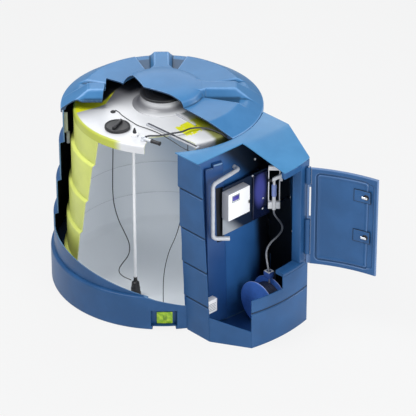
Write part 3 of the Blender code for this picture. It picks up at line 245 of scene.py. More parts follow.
# rotomoulded plastic: faint cloudiness in its colour, orange peel in its surface
def mouldedFinish(name, colour, dark, rough, sheen=0.5, recessShade=False, lines=()):
    made = Finish(name)
    cloud = made.noise(3.0, 4.0)
    speck = made.noise(160.0, 2.0)
    tone = made.mix(cloud.ramp(0.3, 0.75), dark, colour)
    if recessShade:  # painted shade in the lid's recesses beside its ribs
        away = made.x * made.x + made.y * made.y
        low = (made.z * -1.0).ramp(-2.092, -2.066) * (away * -1.0).ramp(-0.640, -0.600)
        low = low * away.ramp(0.190, 0.205)
        tone = made.mix(low * 0.85, tone, scaled(dark, 0.34))
    for joint in lines:  # dirt and shade in the grooves between the rings
        tone = made.mix((made.z - joint).maths("ABSOLUTE").ramp(0.004, 0.013), scaled(dark, 0.30), tone)
    # a painted highlight on ridges and painted shade in grooves
    crease = made.node("ShaderNodeAttribute", "Fac", {"attribute_name": "crease"})
    tone = made.mix(crease.ramp(0.12, 0.9) * 0.65, tone, scaled(colour, 1.3, 0.13))
    tone = made.mix((crease * -1.0).ramp(0.12, 0.9) * 0.7, tone, scaled(colour, 0.25))
    fleck = tuple(min(1.0, value * by) for value, by in zip(colour, (1.6, 1.5, 1.35)))
    tone = made.mix(speck.ramp(0.55, 0.8) * 0.12, tone, fleck)
    made.wire(Base_Color=tone, Roughness=cloud * 0.10 + (rough - 0.05))
    made.shader.inputs["Specular IOR Level"].default_value = sheen
    made.bump(made.noise(90.0, 3.0) + speck * 0.25, 0.0006, 0.5)
    return made.material


# moulded or coated parts: slight tone change and a fine grain
def plainFinish(name, colour, rough, metallic=0.0, shift=0.12):
    made = Finish(name)
    cloud = made.noise(14.0, 3.0)
    tone = made.mix(cloud.ramp(0.3, 0.7), scaled(colour, 1.0 - shift), scaled(colour, 1.0 + shift))
    made.wire(Base_Color=tone, Roughness=cloud * 0.12 + (rough - 0.06), Metallic=metallic)
    made.bump(made.noise(220.0, 2.0), 0.00025, 0.4)
    return made.material


# the controller: a white front, its sides and back painted grey as painted shade
def caseFinish():
    case = Finish("case_plastic")
    tone = case.mix(case.y.ramp(facePlane - 0.098, facePlane - 0.092), (0.95, 0.95, 0.95), (0.40, 0.40, 0.43))
    case.wire(Base_Color=tone, Roughness=0.32, Emission_Color=tone)
    # a faint glow: painted light
    case.shader.inputs["Emission Strength"].default_value = 0.16
    case.bump(case.noise(200.0, 2.0), 0.0002, 0.3)
    return case.material


# the mounting plate is pale at its lower left, and painted shade darkens it towards the upper right
def plateFinish():
    plate = Finish("plate_metal")
    shade = (plate.x + plate.z + plate.noise(9.0, 2.0) * 0.05).ramp(0.90, 1.09)
    plate.wire(Base_Color=plate.mix(shade, (0.44, 0.47, 0.51), (0.008, 0.018, 0.045)), Roughness=0.4)
    plate.bump(plate.noise(120.0, 2.0), 0.0002, 0.3)
    return plate.material


# blue enamel, with a painted highlight along the rims of the flanges
def reelFinish():
    reel = Finish("reel_enamel")
    away = (reel.y + 1.440) * (reel.y + 1.440) + (reel.z - 0.265) * (reel.z - 0.265)
    tone = reel.mix(reel.noise(14.0, 3.0).ramp(0.3, 0.7), (0.080, 0.225, 0.740), (0.100, 0.270, 0.840))
    reel.wire(Base_Color=reel.mix(away.ramp(0.0555, 0.0566), tone, (0.34, 0.42, 0.74)), Roughness=0.28)
    reel.bump(reel.noise(220.0, 2.0), 0.0002, 0.4)
    return reel.material


def sightFinish():
    sight = Finish("sight_plastic")
    tone = sight.mix(sight.noise(30.0, 2.0).ramp(0.35, 0.7), (0.22, 0.42, 0.02), (0.48, 0.66, 0.04))
    sight.wire(Base_Color=tone, Roughness=0.3)
    sight.bump(sight.noise(60.0, 2.0), 0.0003, 0.3)
    return sight.material


# the compartment's back wall: bright blue on the left, with painted shade that darkens it high up and on the
# right
def backWallFinish():
    wall = Finish("compartment_plastic")
    cloud = wall.noise(3.0, 3.0)
    bright = wall.mix(cloud.ramp(0.3, 0.75), (0.022, 0.104, 0.300), (0.030, 0.128, 0.355))
    bright = wall.mix((wall.x + (wall.z - 1.5) * 0.9).ramp(0.04, 0.26), bright, (0.004, 0.010, 0.022))
    tone = wall.mix((wall.x + cloud * 0.06).ramp(0.26, 0.40), bright, (0.003, 0.005, 0.010))
    wall.wire(Base_Color=tone, Roughness=0.42)
    wall.bump(wall.noise(80.0, 3.0), 0.0005, 0.5)
    return wall.material


# the tinted cover: a painted glow, violet in its middle and near black towards its edges
def tintFinish():
    tint = Finish("tinted_cover")
    near = (tint.x - 0.245) * (tint.x - 0.245) + (tint.z - 1.34) * (tint.z - 1.34) * 0.18
    tone = tint.mix(near.ramp(0.0, 0.0100), (0.075, 0.085, 0.36), (0.006, 0.010, 0.036))
    tint.wire(Base_Color=tone, Roughness=0.18)
    tint.bump(tint.noise(40.0, 2.0), 0.0003, 0.3)
    return tint.material


# the inner tank's inside: pale grey, paler towards the right as painted light, bluer and darker high up on
# the right as painted shade, a thin line at each ring
def tankInsideFinish():
    inner = Finish("tank_inside")
    cloud = inner.noise(2.2, 3.0)
    tone = inner.mix(inner.x.ramp(0.05, 0.55), (0.64, 0.67, 0.70), (0.76, 0.79, 0.82))
    tone = inner.mix((inner.x * 0.8 + inner.z * 0.3).ramp(0.58, 0.95), tone, (0.36, 0.44, 0.54))
    tone = inner.mix(cloud.ramp(0.3, 0.8) * 0.12, tone, (0.74, 0.76, 0.78))
    for joint in ringJoints:
        line = (inner.z - (joint - 0.005)).maths("ABSOLUTE").ramp(0.004, 0.011)
        tone = inner.mix(line, (0.22, 0.24, 0.26), tone)
    # a faint glow of the same tone: painted light
    inner.wire(Base_Color=tone, Roughness=0.5, Emission_Color=tone)
    inner.shader.inputs["Emission Strength"].default_value = 0.20
    inner.bump(inner.noise(70.0, 2.0), 0.0005, 0.4)
    return inner.material


# white at the foot, then painted shade in bands up the neck, darkest just above the foot, and painted shade
# on the side away from the cut
def neckFinish():
    neck = Finish("manway_plastic")
    cloud = neck.noise(5.0, 3.0)
    tone = neck.mix(neck.z.ramp(1.960, 1.995), (0.66, 0.66, 0.67), (0.20, 0.20, 0.21))
    tone = neck.mix((neck.z + cloud * 0.01).ramp(2.010, 2.045), tone, (0.52, 0.52, 0.53))
    tone = neck.mix((neck.y * 0.9 - neck.x * 0.3).ramp(-0.05, 0.22) * 0.8, tone, (0.06, 0.06, 0.07))
    neck.wire(Base_Color=tone, Roughness=0.34)
    neck.bump(neck.noise(60.0, 2.0), 0.0004, 0.3)
    return neck.material


# white, with the yellow of the walls at its far left, on its rim and in patches under the lid; painted shade
# and shadow where the lid hangs over it
def deckFinish():
    deck = Finish("deck_plastic")
    x, y, cloud = deck.x, deck.y, deck.noise(4.0, 3.0)
    jag = deck.noise(14.0, 2.0)
    white = deck.mix(cloud.ramp(0.3, 0.8) * 0.4, (0.64, 0.64, 0.65), (0.54, 0.55, 0.57))
    # painted shade, darker towards the back under the lid
    tone = deck.mix((y + x * 0.3).ramp(0.00, 0.42), white, (0.09, 0.09, 0.10))
    left = (y - (x * -0.28 + 0.245).maths("MAXIMUM", 0.385)).ramp(-0.006, 0.006)
    left = left * (y * 1.71 - x - 1.06).ramp(-0.01, 0.02)
    tone = deck.mix(left, tone, (0.56, 0.57, 0.01))
    # painted shadow, near black, where the lid hangs over the deck
    lidShadow = (y - x * 0.35 + jag * 0.02).ramp(0.575, 0.605) * x.ramp(-0.46, -0.42)
    tone = deck.mix(lidShadow, tone, (0.010, 0.010, 0.012))
    rim = (x * x + y * y).ramp(0.742, 0.766) * (y + cloud * 0.05).ramp(-0.30, -0.20)
    rim = rim * (x * -1.0).ramp(0.0, 0.1)
    tone = deck.mix(rim, tone, (0.44, 0.48, 0.06))
    patch = (x - y * 0.152).ramp(-0.192, -0.176) * (y * -1.0).ramp(0.450, 0.462)
    patch = patch * (y + jag * 0.16).ramp(-0.60, -0.585)
    tone = deck.mix(patch * (1.0 - (jag + cloud * 0.5).ramp(0.86, 0.90)), tone, (0.66, 0.66, 0.01))
    # painted shade on the right under the lid, olive over the yellow
    shaded = (x - y * 0.18 + jag * 0.03).ramp(0.030, 0.085) * (y * -1.0).ramp(0.12, 0.30)
    green = deck.mix((y * -1.0).ramp(0.36, 0.50), (0.10, 0.12, 0.11), (0.19, 0.20, 0.012))
    tone = deck.mix(shaded * 0.9, tone, green)
    deck.wire(Base_Color=tone, Roughness=0.34)
    deck.bump(deck.noise(60.0, 2.0), 0.0005, 0.4)
    return deck.material


for key, (name, colour, dark, rough, more) in mouldedLooks.items():
    finishes[key] = mouldedFinish(name, colour, dark, rough, **more)
for key, (name, colour, rough, more) in plainLooks.items():
    finishes[key] = plainFinish(name, colour, rough, **more)
finishes["case"] = caseFinish()
finishes["plate"] = plateFinish()
finishes["reel"] = reelFinish()
finishes["sight"] = sightFinish()
finishes["back wall"] = backWallFinish()
finishes["tint"] = tintFinish()
finishes["grey inside"] = tankInsideFinish()
finishes["neck"] = neckFinish()
finishes["deck"] = deckFinish()
print("finishes made", len(finishes))


# geometry helpers; every finished piece sits at the origin with its place in its mesh
def linked(name, mesh):
    piece = bpy.data.objects.new(name, mesh)
    scene.collection.objects.link(piece)
    return piece


def fromBmesh(name, bm, tidy=True):
    if tidy:
        bmesh.ops.recalc_face_normals(bm, faces=bm.faces)
    mesh = bpy.data.meshes.new(name)
    bm.to_mesh(mesh)
    bm.free()
    return linked(name, mesh)


# bakes the modifiers into a plain mesh
def applied(piece):
    bpy.context.view_layer.update()
    graph = bpy.context.evaluated_depsgraph_get()
    mesh = bpy.data.meshes.new_from_object(piece.evaluated_get(graph))
    piece.modifiers.clear()
    piece.data = mesh
    return piece


# cuts, joins or trims a piece with a tool, which is then gone
def carve(piece, tool, operation="DIFFERENCE", look="INDEX"):
    step = piece.modifiers.new("carve", "BOOLEAN")
    step.operation = operation
    step.object = tool
    step.solver = "EXACT"
    step.material_mode = look
    applied(piece)
    bpy.data.objects.remove(tool, do_unlink=True)
    return piece


# like carve, but the new faces take the tool's finish
def carveLook(piece, tool, operation="DIFFERENCE"):
    return carve(piece, tool, operation, "TRANSFER")


def bevelled(piece, width, segments=3, angle=35.0):
    step = piece.modifiers.new("bevel", "BEVEL")
    step.width = width
    step.segments = segments
    step.limit_method = "ANGLE"
    step.angle_limit = math.radians(angle)
    step.use_clamp_overlap = True
    return applied(piece)


def smoothed(piece, angle=32.0):
    piece.data.shade_smooth()
    piece.data.set_sharp_from_angle(angle=math.radians(angle))
    return piece


fullCrease = 0.14  # mean slope of the edges at a point that counts as a full ridge or groove


# one number per point, above 0 on ridges and below 0 in grooves, for the finishes to read
def creased(piece):
    mesh = piece.data
    places, normals = (np.empty(3 * len(mesh.vertices)) for _ in range(2))
    ends = np.empty(2 * len(mesh.edges), dtype=np.int32)
    mesh.vertices.foreach_get("co", places)
    mesh.vertices.foreach_get("normal", normals)
    mesh.edges.foreach_get("vertices", ends)
    places, normals, ends = places.reshape(-1, 3), normals.reshape(-1, 3), ends.reshape(-1, 2)
    lean, share = np.zeros(len(places)), np.zeros(len(places))
    for a, b in ((ends[:, 0], ends[:, 1]), (ends[:, 1], ends[:, 0])):
        step = places[a] - places[b]
        length = np.maximum(np.linalg.norm(step, axis=1), 1e-6)
        np.add.at(lean, a, np.einsum("ij,ij->i", normals[a], step) / length)
        np.add.at(share, a, 1.0)
    value = np.clip(lean / np.maximum(share, 1.0) / fullCrease, -1.0, 1.0)
    layer = mesh.attributes.new("crease", "FLOAT", "POINT")
    layer.data.foreach_set("value", value.astype(np.float32))
    return piece


# gives the finish, the body it rides on and the nodes it stands for
def dressed(piece, body, finish, *nodes, slot=None, angle=32.0):
    smoothed(piece, angle)
    if finish is not None:
        piece.data.materials.clear()
        piece.data.materials.append(finishes[finish])
    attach(piece, body)
    if nodes:
        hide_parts(*nodes)
    return piece


def block(name, low, high):
    bm = bmesh.new()
    bmesh.ops.create_cube(bm, size=1.0)
    bmesh.ops.scale(bm, vec=[b - a for a, b in zip(low, high)], verts=bm.verts)
    bmesh.ops.translate(bm, vec=[(a + b) / 2 for a, b in zip(low, high)], verts=bm.verts)
    return fromBmesh(name, bm)


def turnTo(direction):
    return Vector(direction).to_track_quat("Z", "Y").to_matrix().to_4x4()


# turns a profile of (radius, height along the axis) round an axis; it closes on the axis or on itself
def lathe(name, profile, start=(0, 0, 0), direction=(0, 0, 1), steps=64):
    bm = bmesh.new()
    ring = profile[0] == profile[-1]
    points = profile[:-1] if ring else profile
    columns = []
    for i in range(steps):
        angle = 2 * math.pi * i / steps
        columns.append([bm.verts.new((r * math.cos(angle), r * math.sin(angle), h)) for r, h in points])
    count = len(points)
    for i in range(steps):
        a, b = columns[i], columns[(i + 1) % steps]
        for j in range(count if ring else count - 1):
            k = (j + 1) % count
            bm.faces.new((a[j], b[j], b[k], a[k]))
    bmesh.ops.remove_doubles(bm, verts=bm.verts, dist=0.00001)
    bmesh.ops.dissolve_degenerate(bm, edges=bm.edges, dist=0.00001)
    bmesh.ops.transform(bm, matrix=Matrix.Translation(start) @ turnTo(direction), verts=bm.verts)
    return fromBmesh(name, bm)


# rounds the corners of a flat line of points
def softened(points, radius, count=4, closed=False):
    points = [Vector(p) for p in points]
    made = []
    total = len(points)
    for i, point in enumerate(points):
        if not closed and i in (0, total - 1):
            made.append(point)
            continue
        before, after = points[i - 1], points[(i + 1) % total]
        reach = min(radius, (before - point).length * 0.45, (after - point).length * 0.45)
        start = point + (before - point).normalized() * reach
        end = point + (after - point).normalized() * reach
        for step in range(count + 1):
            t = step / count
            made.append(start * (1 - t) ** 2 + point * 2 * t * (1 - t) + end * t ** 2)
    return [tuple(p) for p in made]


# part or all of a turned wall; its outside, inside and cut ends can have their own finish
def shellRing(name, profile, wall, start, sweep, steps, looks=None):
    inner = [(r - wall, z) for r, z in reversed(profile)]
    loop = list(profile) + inner
    bm = bmesh.new()
    whole = abs(sweep - 360.0) < 0.001
    columns = []
    for i in range(steps if whole else steps + 1):
        angle = math.radians(start + sweep * i / steps)
        columns.append([bm.verts.new((r * math.cos(angle), r * math.sin(angle), z)) for r, z in loop])
    count, outside = len(loop), len(profile) - 1
    for i in range(steps):
        a, b = columns[i], columns[(i + 1) % len(columns)]
        for j in range(count):
            k = (j + 1) % count
            face = bm.faces.new((a[j], a[k], b[k], b[j]))
            face.material_index = 0 if j < outside else 1 if outside < j < count - 1 else 2
    if not whole:
        for column in (columns[0], columns[-1]):
            for j in range(outside):
                quad = (column[j], column[j + 1], column[count - 2 - j], column[count - 1 - j])
                bm.faces.new(quad).material_index = 2
    piece = fromBmesh(name, bm)
    for look in looks or ():
        piece.data.materials.append(finishes[look])
    return piece


# a flat outline pushed from low to high along the plane's normal
def prism(name, outline, low, high, plane="XY"):
    ways = {
        "XY": lambda u, v, w: (u, v, w), "YZ": lambda u, v, w: (w, u, v), "XZ": lambda u, v, w: (u, w, v),
    }
    place = ways[plane]
    bm = bmesh.new()
    bottom = [bm.verts.new(place(u, v, low)) for u, v in outline]
    top = [bm.verts.new(place(u, v, high)) for u, v in outline]
    count = len(outline)
    bm.faces.new(bottom)
    bm.faces.new(top)
    for i in range(count):
        j = (i + 1) % count
        bm.faces.new((bottom[i], bottom[j], top[j], top[i]))
    return fromBmesh(name, bm)


# rings of points joined one to the next and closed at both ends
def loftRings(name, rings):
    bm = bmesh.new()
    rows = [[bm.verts.new(point) for point in ring] for ring in rings]
    count = len(rows[0])
    for lower, upper in zip(rows, rows[1:]):
        for i in range(count):
            j = (i + 1) % count
            bm.faces.new((lower[i], lower[j], upper[j], upper[i]))
    bm.faces.new(rows[0])
    bm.faces.new(rows[-1])
    return fromBmesh(name, bm)


# a rectangle in (radius, height), for the turned blocks
def upright(near, far, low, high):
    return [(near, low), (far, low), (far, high), (near, high)]


# a closed (radius, height) outline carried round the tank's axis
def sectorBlock(name, loop, start, sweep, steps):
    turns = [math.radians(start + sweep * i / steps) for i in range(steps + 1)]
    return loftRings(name, [[(r * math.cos(turn), r * math.sin(turn), z) for r, z in loop] for turn in turns])


# several pieces as one mesh, keeping their finishes
def merged(name, pieces):
    bm = bmesh.new()
    slots = []
    for piece in pieces:
        part = bmesh.new()
        part.from_mesh(piece.data)
        own = list(piece.data.materials) or [None]
        for face in part.faces:
            look = own[min(face.material_index, len(own) - 1)]
            if look not in slots:
                slots.append(look)
            face.material_index = slots.index(look)
        holder = bpy.data.meshes.new("holder")
        part.to_mesh(holder)
        part.free()
        bm.from_mesh(holder)
        bpy.data.objects.remove(piece, do_unlink=True)
    mesh = bpy.data.meshes.new(name)
    bm.to_mesh(mesh)
    bm.free()
    for look in slots:
        if look is not None:
            mesh.materials.append(look)
    return linked(name, mesh)


def painted(piece, finish):
    piece.data.materials.clear()
    piece.data.materials.append(finishes[finish])
    return piece


# a smooth line through the points
def throughPoints(points, count):
    points = [Vector(p) for p in points]
    ends = [points[0] * 2 - points[1]] + points + [points[-1] * 2 - points[-2]]
    line = []
    for i in range(1, len(ends) - 2):
        a, b, c, d = ends[i - 1:i + 3]
        square, cube = 2 * a - 5 * b + 4 * c - d, 3 * b - a - 3 * c + d
        for step in range(count):
            t = step / count
            line.append(((2 * b) + (c - a) * t + square * t * t + cube * t ** 3) / 2)
    line.append(points[-1])
    return line


# a closed round tube along a line of points
def sweepTube(name, line, radius, sides=16):
    rings = []
    side = None
    last = len(line) - 1
    for i, point in enumerate(line):
        ahead = (line[min(i + 1, last)] - line[max(i - 1, 0)]).normalized()
        if side is None:
            side = ahead.orthogonal().normalized()
        side = (side - ahead * side.dot(ahead)).normalized()
        other = ahead.cross(side)
        turns = [2 * math.pi * k / sides for k in range(sides)]
        rings.append([point + (side * math.cos(turn) + other * math.sin(turn)) * radius for turn in turns])
    return loftRings(name, rings)


# a place and a turn about +Z, in degrees, as one matrix
def turned(place, degrees):
    return Matrix.Translation(place) @ Matrix.Rotation(math.radians(degrees), 4, "Z")


def around(radius, degrees):
    return radius * math.cos(math.radians(degrees)), radius * math.sin(math.radians(degrees))


# cords first, on the routes that the CAD solids take
cordRoutes = {
    "pump_cable": {
        "points": (
            (-0.478, 0.205, 1.9460), (-0.475, 0.210, 1.800), (-0.471, 0.218, 1.650), (-0.474, 0.221, 1.500),
            (-0.487, 0.213, 1.350), (-0.515, 0.188, 1.210), (-0.540, 0.160, 1.080), (-0.552, 0.128, 0.945),
            (-0.550, 0.070, 0.800), (-0.534, 0.006, 0.680), (-0.522, -0.045, 0.580),
            (-0.528, -0.066, 0.500), (-0.556, -0.066, 0.430), (-0.610, -0.045, 0.360),
            (-0.645, -0.035, 0.310), (-0.656, -0.050, 0.268), (-0.640, -0.090, 0.235),
            (-0.608, -0.130, 0.212), (-0.590, -0.152, 0.200),
        ),
        "radius": 0.005, "finish": "black", "lay": "hanging", "stiffness": "medium",
    },
    "probe_cable": {
        "points": (
            (-0.215, -0.600, 1.9450), (-0.218, -0.602, 1.760), (-0.235, -0.612, 1.560),
            (-0.280, -0.632, 1.330), (-0.345, -0.655, 1.130), (-0.407, -0.665, 0.965),
            (-0.443, -0.642, 0.830), (-0.470, -0.600, 0.700), (-0.488, -0.568, 0.560),
            (-0.497, -0.545, 0.420), (-0.496, -0.530, 0.280), (-0.490, -0.520, 0.150),
            (-0.485, -0.516, 0.030),
        ),
        "radius": 0.004, "finish": "black", "lay": "hanging", "stiffness": "medium",
    },
    "deck_cable": {
        "points": (
            (-0.4515, 0.205, 1.963), (-0.446, 0.205, 1.963), (-0.440, 0.196, 1.963), (-0.445, 0.150, 1.963),
            (-0.463, 0.090, 1.962), (-0.483, -0.045, 1.962), (-0.492, -0.190, 1.962),
            (-0.470, -0.300, 1.962), (-0.457, -0.400, 1.962), (-0.455, -0.500, 1.961),
            (-0.457, -0.590, 1.957), (-0.459, -0.680, 1.950), (-0.458, -0.780, 1.938),
            (-0.435, -0.862, 1.922), (-0.385, -0.925, 1.908), (-0.360, -0.960, 1.905),
        ),
        "radius": 0.004, "finish": "black", "lay": "loose", "stiffness": "medium",
    },
    "deck_hose": {
        "points": (
            (-0.6094, -0.425, 1.97622), (-0.604, -0.425, 1.97622), (-0.598, -0.425, 1.97622),
            (-0.588, -0.430, 1.9785), (-0.572, -0.446, 1.981), (-0.548, -0.478, 1.985),
            (-0.506, -0.525, 1.990), (-0.410, -0.570, 1.993), (-0.300, -0.612, 1.990),
            (-0.200, -0.615, 1.986), (-0.110, -0.662, 1.981), (-0.050, -0.752, 1.977),
            (-0.032, -0.835, 1.973), (-0.018, -0.900, 1.962), (0.006, -0.962, 1.927),
            (0.028, -1.012, 1.9015), (0.030, -1.0335, 1.900),
        ),
        "radius": 0.009, "finish": "hose", "lay": "loose", "stiffness": "stiff",
    },
    "delivery_hose": {
        "points": (
            (0.377, -1.2200, 1.0874), (0.377, -1.2200, 1.0760), (0.377, -1.2200, 1.0620),
            (0.385, -1.2211, 1.0300), (0.417, -1.2245, 0.9750), (0.455, -1.2303, 0.9200),
            (0.476, -1.2406, 0.8680), (0.458, -1.2543, 0.8230), (0.371, -1.2772, 0.7990),
            (0.257, -1.3036, 0.7890), (0.180, -1.3322, 0.7680), (0.131, -1.3645, 0.7320),
            (0.112, -1.3933, 0.6800), (0.100, -1.4220, 0.6250), (0.094, -1.4412, 0.5800),
            (0.093, -1.4490, 0.5400), (0.093, -1.4490, 0.5000), (0.093, -1.4490, 0.4535),
        ),
        "radius": 0.010, "finish": "deliveryHose", "lay": "hanging", "stiffness": "medium",
    },
}


def makeCords():
    for node, facts in cordRoutes.items():
        line = throughPoints(facts["points"], 6)
        piece = sweepTube(node + "_jacket", line, facts["radius"], 12)
        dressed(piece, "tank", facts["finish"], node, angle=50.0)
        length = sum((b - a).length for a, b in zip(line, line[1:]))
        print("cord", node, round(length, 3))


makeCords()
print("cords made")


# the outer bund, ring on ring, with its sawn edge on the left
bundFacts = {
    "radii": (1.155, 1.119, 1.083, 1.044, 1.000), "joints": ringJoints, "wall": 0.012,
    "top": 1.945, "start": -58.0, "end": 143.0, "saw": (0.328, -0.185, 0.176), "gap": 0.0003, "gate": 0.6043,
    "pocket": (0.0445, 0.224), "pocketAngles": (220.6, 13.2),
    "notchAngles": (221.3, 11.9), "notchTop": 0.0385, "notchDeep": 0.085,
}


def ringProfile(radii, joints, top, bottom, first, soft):
    points = [(radii[-1], top)]
    for i in range(len(joints) - 1, first - 1, -1):
        upper, lower, z = radii[i + 1], radii[i], joints[i]
        points += [(upper, z + 0.012), (upper - 0.006, z), (lower, z - 0.014)]
    points.append((radii[first], bottom))
    return softened(points, soft, 3)


def sawBlock(finish):
    a, b, c = bundFacts["saw"]
    tool = block("saw", (-1.4, -1.4, 0.0), (-0.56, 1.4, 2.6))
    for vertex in tool.data.vertices:
        if vertex.co.z < 1.0:
            vertex.co.z = a + b * vertex.co.x + c * vertex.co.y
    return painted(tool, finish)


def gateBlock(floor, finish):
    edge = bundFacts["gate"]
    return painted(block("gate", (-edge, -1.5, floor), (edge, -0.6, 3.0)), finish)


def makeBund():
    facts = bundFacts
    r1, r2, wall, joint = facts["radii"][0], facts["radii"][1], facts["wall"], facts["joints"][0]
    top = joint - 0.004
    outside = [
        (r2 - 0.016, top), (r2 + 0.010, top), (r1 - 0.004, top - 0.005), (r1, top - 0.024), (r1, 0.012),
        (r1 - 0.012, 0.0), (0.0, 0.0),
    ]
    inside = [
        (0.0, wall), (r1 - 0.030, wall), (r1 - wall, wall + 0.016), (r1 - wall, top - 0.032),
        (r1 - 0.020, top - 0.020), (r2 + 0.010, top - wall), (r2 - 0.016, top - wall),
    ]
    loop = list(reversed(softened(outside, 0.010, 4))) + list(reversed(inside))
    base = painted(lathe("base_ring", loop, steps=180), "blue")
    carveLook(base, gateBlock(wall + facts["gap"], "cut"))
    carveLook(base, sawBlock("cut"))
    (low, high), reach = facts["pocket"], r1 + 0.1
    recess = sectorBlock("recess", upright(r1 - 0.075, reach, low, high), *facts["pocketAngles"], 12)
    carveLook(base, painted(recess, "blue"))
    back = r1 - facts["notchDeep"]
    notch = sectorBlock("notch", upright(back, reach, -0.1, low + 0.001), *facts["notchAngles"], 12)
    # the notch's faces are painted near black: painted shade
    carveLook(base, painted(notch, "dark"))
    dressed(base, "tank", None, "bund_base", slot="bund_blue")

    bottom = top + facts["gap"]
    # the insides of the walls, here and below, are painted near black as painted shade
    left = shellRing(
        "first_ring_edge", [(r2, facts["joints"][1] - 0.03), (r2, bottom)], wall, facts["end"] + 0.02, 72.0,
        60, ("blue", "dark", "cut"),
    )
    carveLook(left, sawBlock("cut"))
    dressed(left, "tank", None, "bund_wall_cut_edge")

    profile = ringProfile(facts["radii"], facts["joints"], facts["top"], bottom, 1, 0.010)
    walls = shellRing(
        "bund_walls", profile, wall, facts["start"], facts["end"] - facts["start"], 150,
        ("blue", "dark", "cut"),
    )
    carveLook(walls, gateBlock(0.0, "cut"))
    dressed(walls, "tank", None, "bund_wall_1", "bund_wall_2", "bund_wall_3", "bund_wall_4")
    print("bund made")


# the lid: one height over radius and angle, so its ribs and grooves run softly into each other
lidFacts = {
    "wall": 0.012, "seat": 1.9453, "ribs": 4, "turn": 47.5, "ribHalf": 0.108, "ribTop": 2.165,
    "ribEnd": 0.745, "groove": 18.9, "floor": 2.055, "around": 480, "edge": 0.998, "innerEdge": 0.962,
    "profile": (
        (0.0, 2.205), (0.12, 2.204), (0.22, 2.199), (0.30, 2.188), (0.36, 2.174), (0.398, 2.156),
        (0.424, 2.094), (0.450, 2.099), (0.795, 2.099), (0.822, 2.087), (0.90, 2.038), (0.998, 1.974),
    ),
    "rim": (
        (1.006, 1.9695), (1.0125, 1.9645), (1.0165, 1.958), (1.018, 1.950), (1.018, 1.922), (1.0165, 1.920),
    ),
    "cut": (
        (0.003, -1.400), (-1.400, -1.400), (-1.400, 1.000), (-0.850, 0.645), (-0.735, 0.555),
        (-0.666, 0.442), (-0.526, 0.314), (-0.470, 0.345), (-0.216, 0.590), (-0.173, 0.423),
        (-0.169, 0.374), (-0.114, 0.379), (-0.081, 0.341), (-0.200, 0.050), (-0.115, -0.240),
        (-0.090, -0.410), (-0.108, -0.800), (0.003, -1.030),
    ),
}


# height of a flat line at x
def along(line, x):
    for (x0, y0), (x1, y1) in zip(line, line[1:]):
        if x <= x1:
            return y0 + (y1 - y0) * (x - x0) / (x1 - x0)
    return line[-1][1]


def softMin(a, b, reach):
    if abs(a - b) >= reach:
        return min(a, b)
    share = (reach - abs(a - b)) / reach
    return min(a, b) - share * share * reach / 4


def softMax(a, b, reach):
    return -softMin(-a, -b, reach)


def lidHeight(radius, angle, soft):
    facts = lidFacts
    height = along(soft, radius)
    for i in range(facts["ribs"]):
        turn = math.radians(facts["turn"] + 90 * i)
        u, v = radius * math.cos(angle - turn), radius * math.sin(angle - turn)
        if u <= 0.2:
            continue
        edge = u * math.tan(math.radians(facts["groove"])) - abs(v)
        side = min(edge * math.cos(math.radians(facts["groove"])), radius - 0.430)
        lowered = softMin(height, facts["floor"] + max(0.0, 0.012 - side) * 3.0, 0.020)
        height = lowered if side > -0.03 else height
        fall = facts["ribTop"] - (u - facts["ribEnd"]) * 0.775
        ridge = softMin(facts["ribTop"] if u < facts["ribEnd"] else fall, fall, 0.03)
        ridge = softMin(ridge, (facts["ribHalf"] + 0.006 - abs(v)) * 2.8 + height, 0.026)  # its flanks
        ridge = softMin(ridge, (0.990 - u) * 4.0 + height, 0.020)  # its outer end
        if u > 0.30:
            height = softMax(height, ridge, 0.022)
    return height


def makeLid():
    facts = lidFacts
    soft = softened(facts["profile"], 0.020, 4)
    rows = [0.02 * i for i in range(1, 20)] + [0.38 + 0.0065 * i for i in range(96)]
    radii = sorted({round(x, 4) for x in rows if x < 0.997} | {facts["edge"]})
    count = facts["around"]
    bm = bmesh.new()
    outerCentre = bm.verts.new((0, 0, facts["profile"][0][1]))
    innerCentre = bm.verts.new((0, 0, facts["profile"][0][1] - facts["wall"]))
    outerRows, innerRows = [], []
    for radius in radii:
        outerRow, innerRow = [], []
        for k in range(count):
            angle = 2 * math.pi * k / count
            height = min(lidHeight(radius, angle, soft), facts["profile"][0][1])
            x, y = math.cos(angle), math.sin(angle)
            outerRow.append(bm.verts.new((radius * x, radius * y, height)))
            if radius <= facts["innerEdge"]:
                low = max(height - facts["wall"] * 1.15, facts["seat"] + 0.012)
                innerRow.append(bm.verts.new((radius * x, radius * y, low)))
        outerRows.append(outerRow)
        if innerRow:
            innerRows.append(innerRow)

    def fullRow(radius, height):
        turns = [2 * math.pi * k / count for k in range(count)]
        return [bm.verts.new((radius * math.cos(turn), radius * math.sin(turn), height)) for turn in turns]

    for radius, height in facts["rim"]:
        outerRows.append(fullRow(radius, height))
    for radius, height in ((0.972, facts["seat"]), (1.0055, facts["seat"]), (1.006, 1.920)):
        innerRows.append(fullRow(radius, height))
    for k in range(count):
        j = (k + 1) % count
        bm.faces.new((outerCentre, outerRows[0][k], outerRows[0][j]))
        bm.faces.new((innerCentre, innerRows[0][j], innerRows[0][k]))
    for rows, flip in ((outerRows + [innerRows[-1]], False), (innerRows, True)):
        for a, b in zip(rows, rows[1:]):
            for k in range(count):
                j = (k + 1) % count
                quad = (a[k], b[k], b[j], a[j])
                bm.faces.new(quad[::-1] if flip else quad)
    lid = painted(fromBmesh("lid_shell", bm), "lid")
    tool = painted(prism("lid_saw", facts["cut"], 1.8, 2.5), "deepCut")
    creased(carveLook(lid, tool))
    dressed(lid, "tank", None, "bund_lid", angle=60.0)
    print("lid made", len(lid.data.polygons))


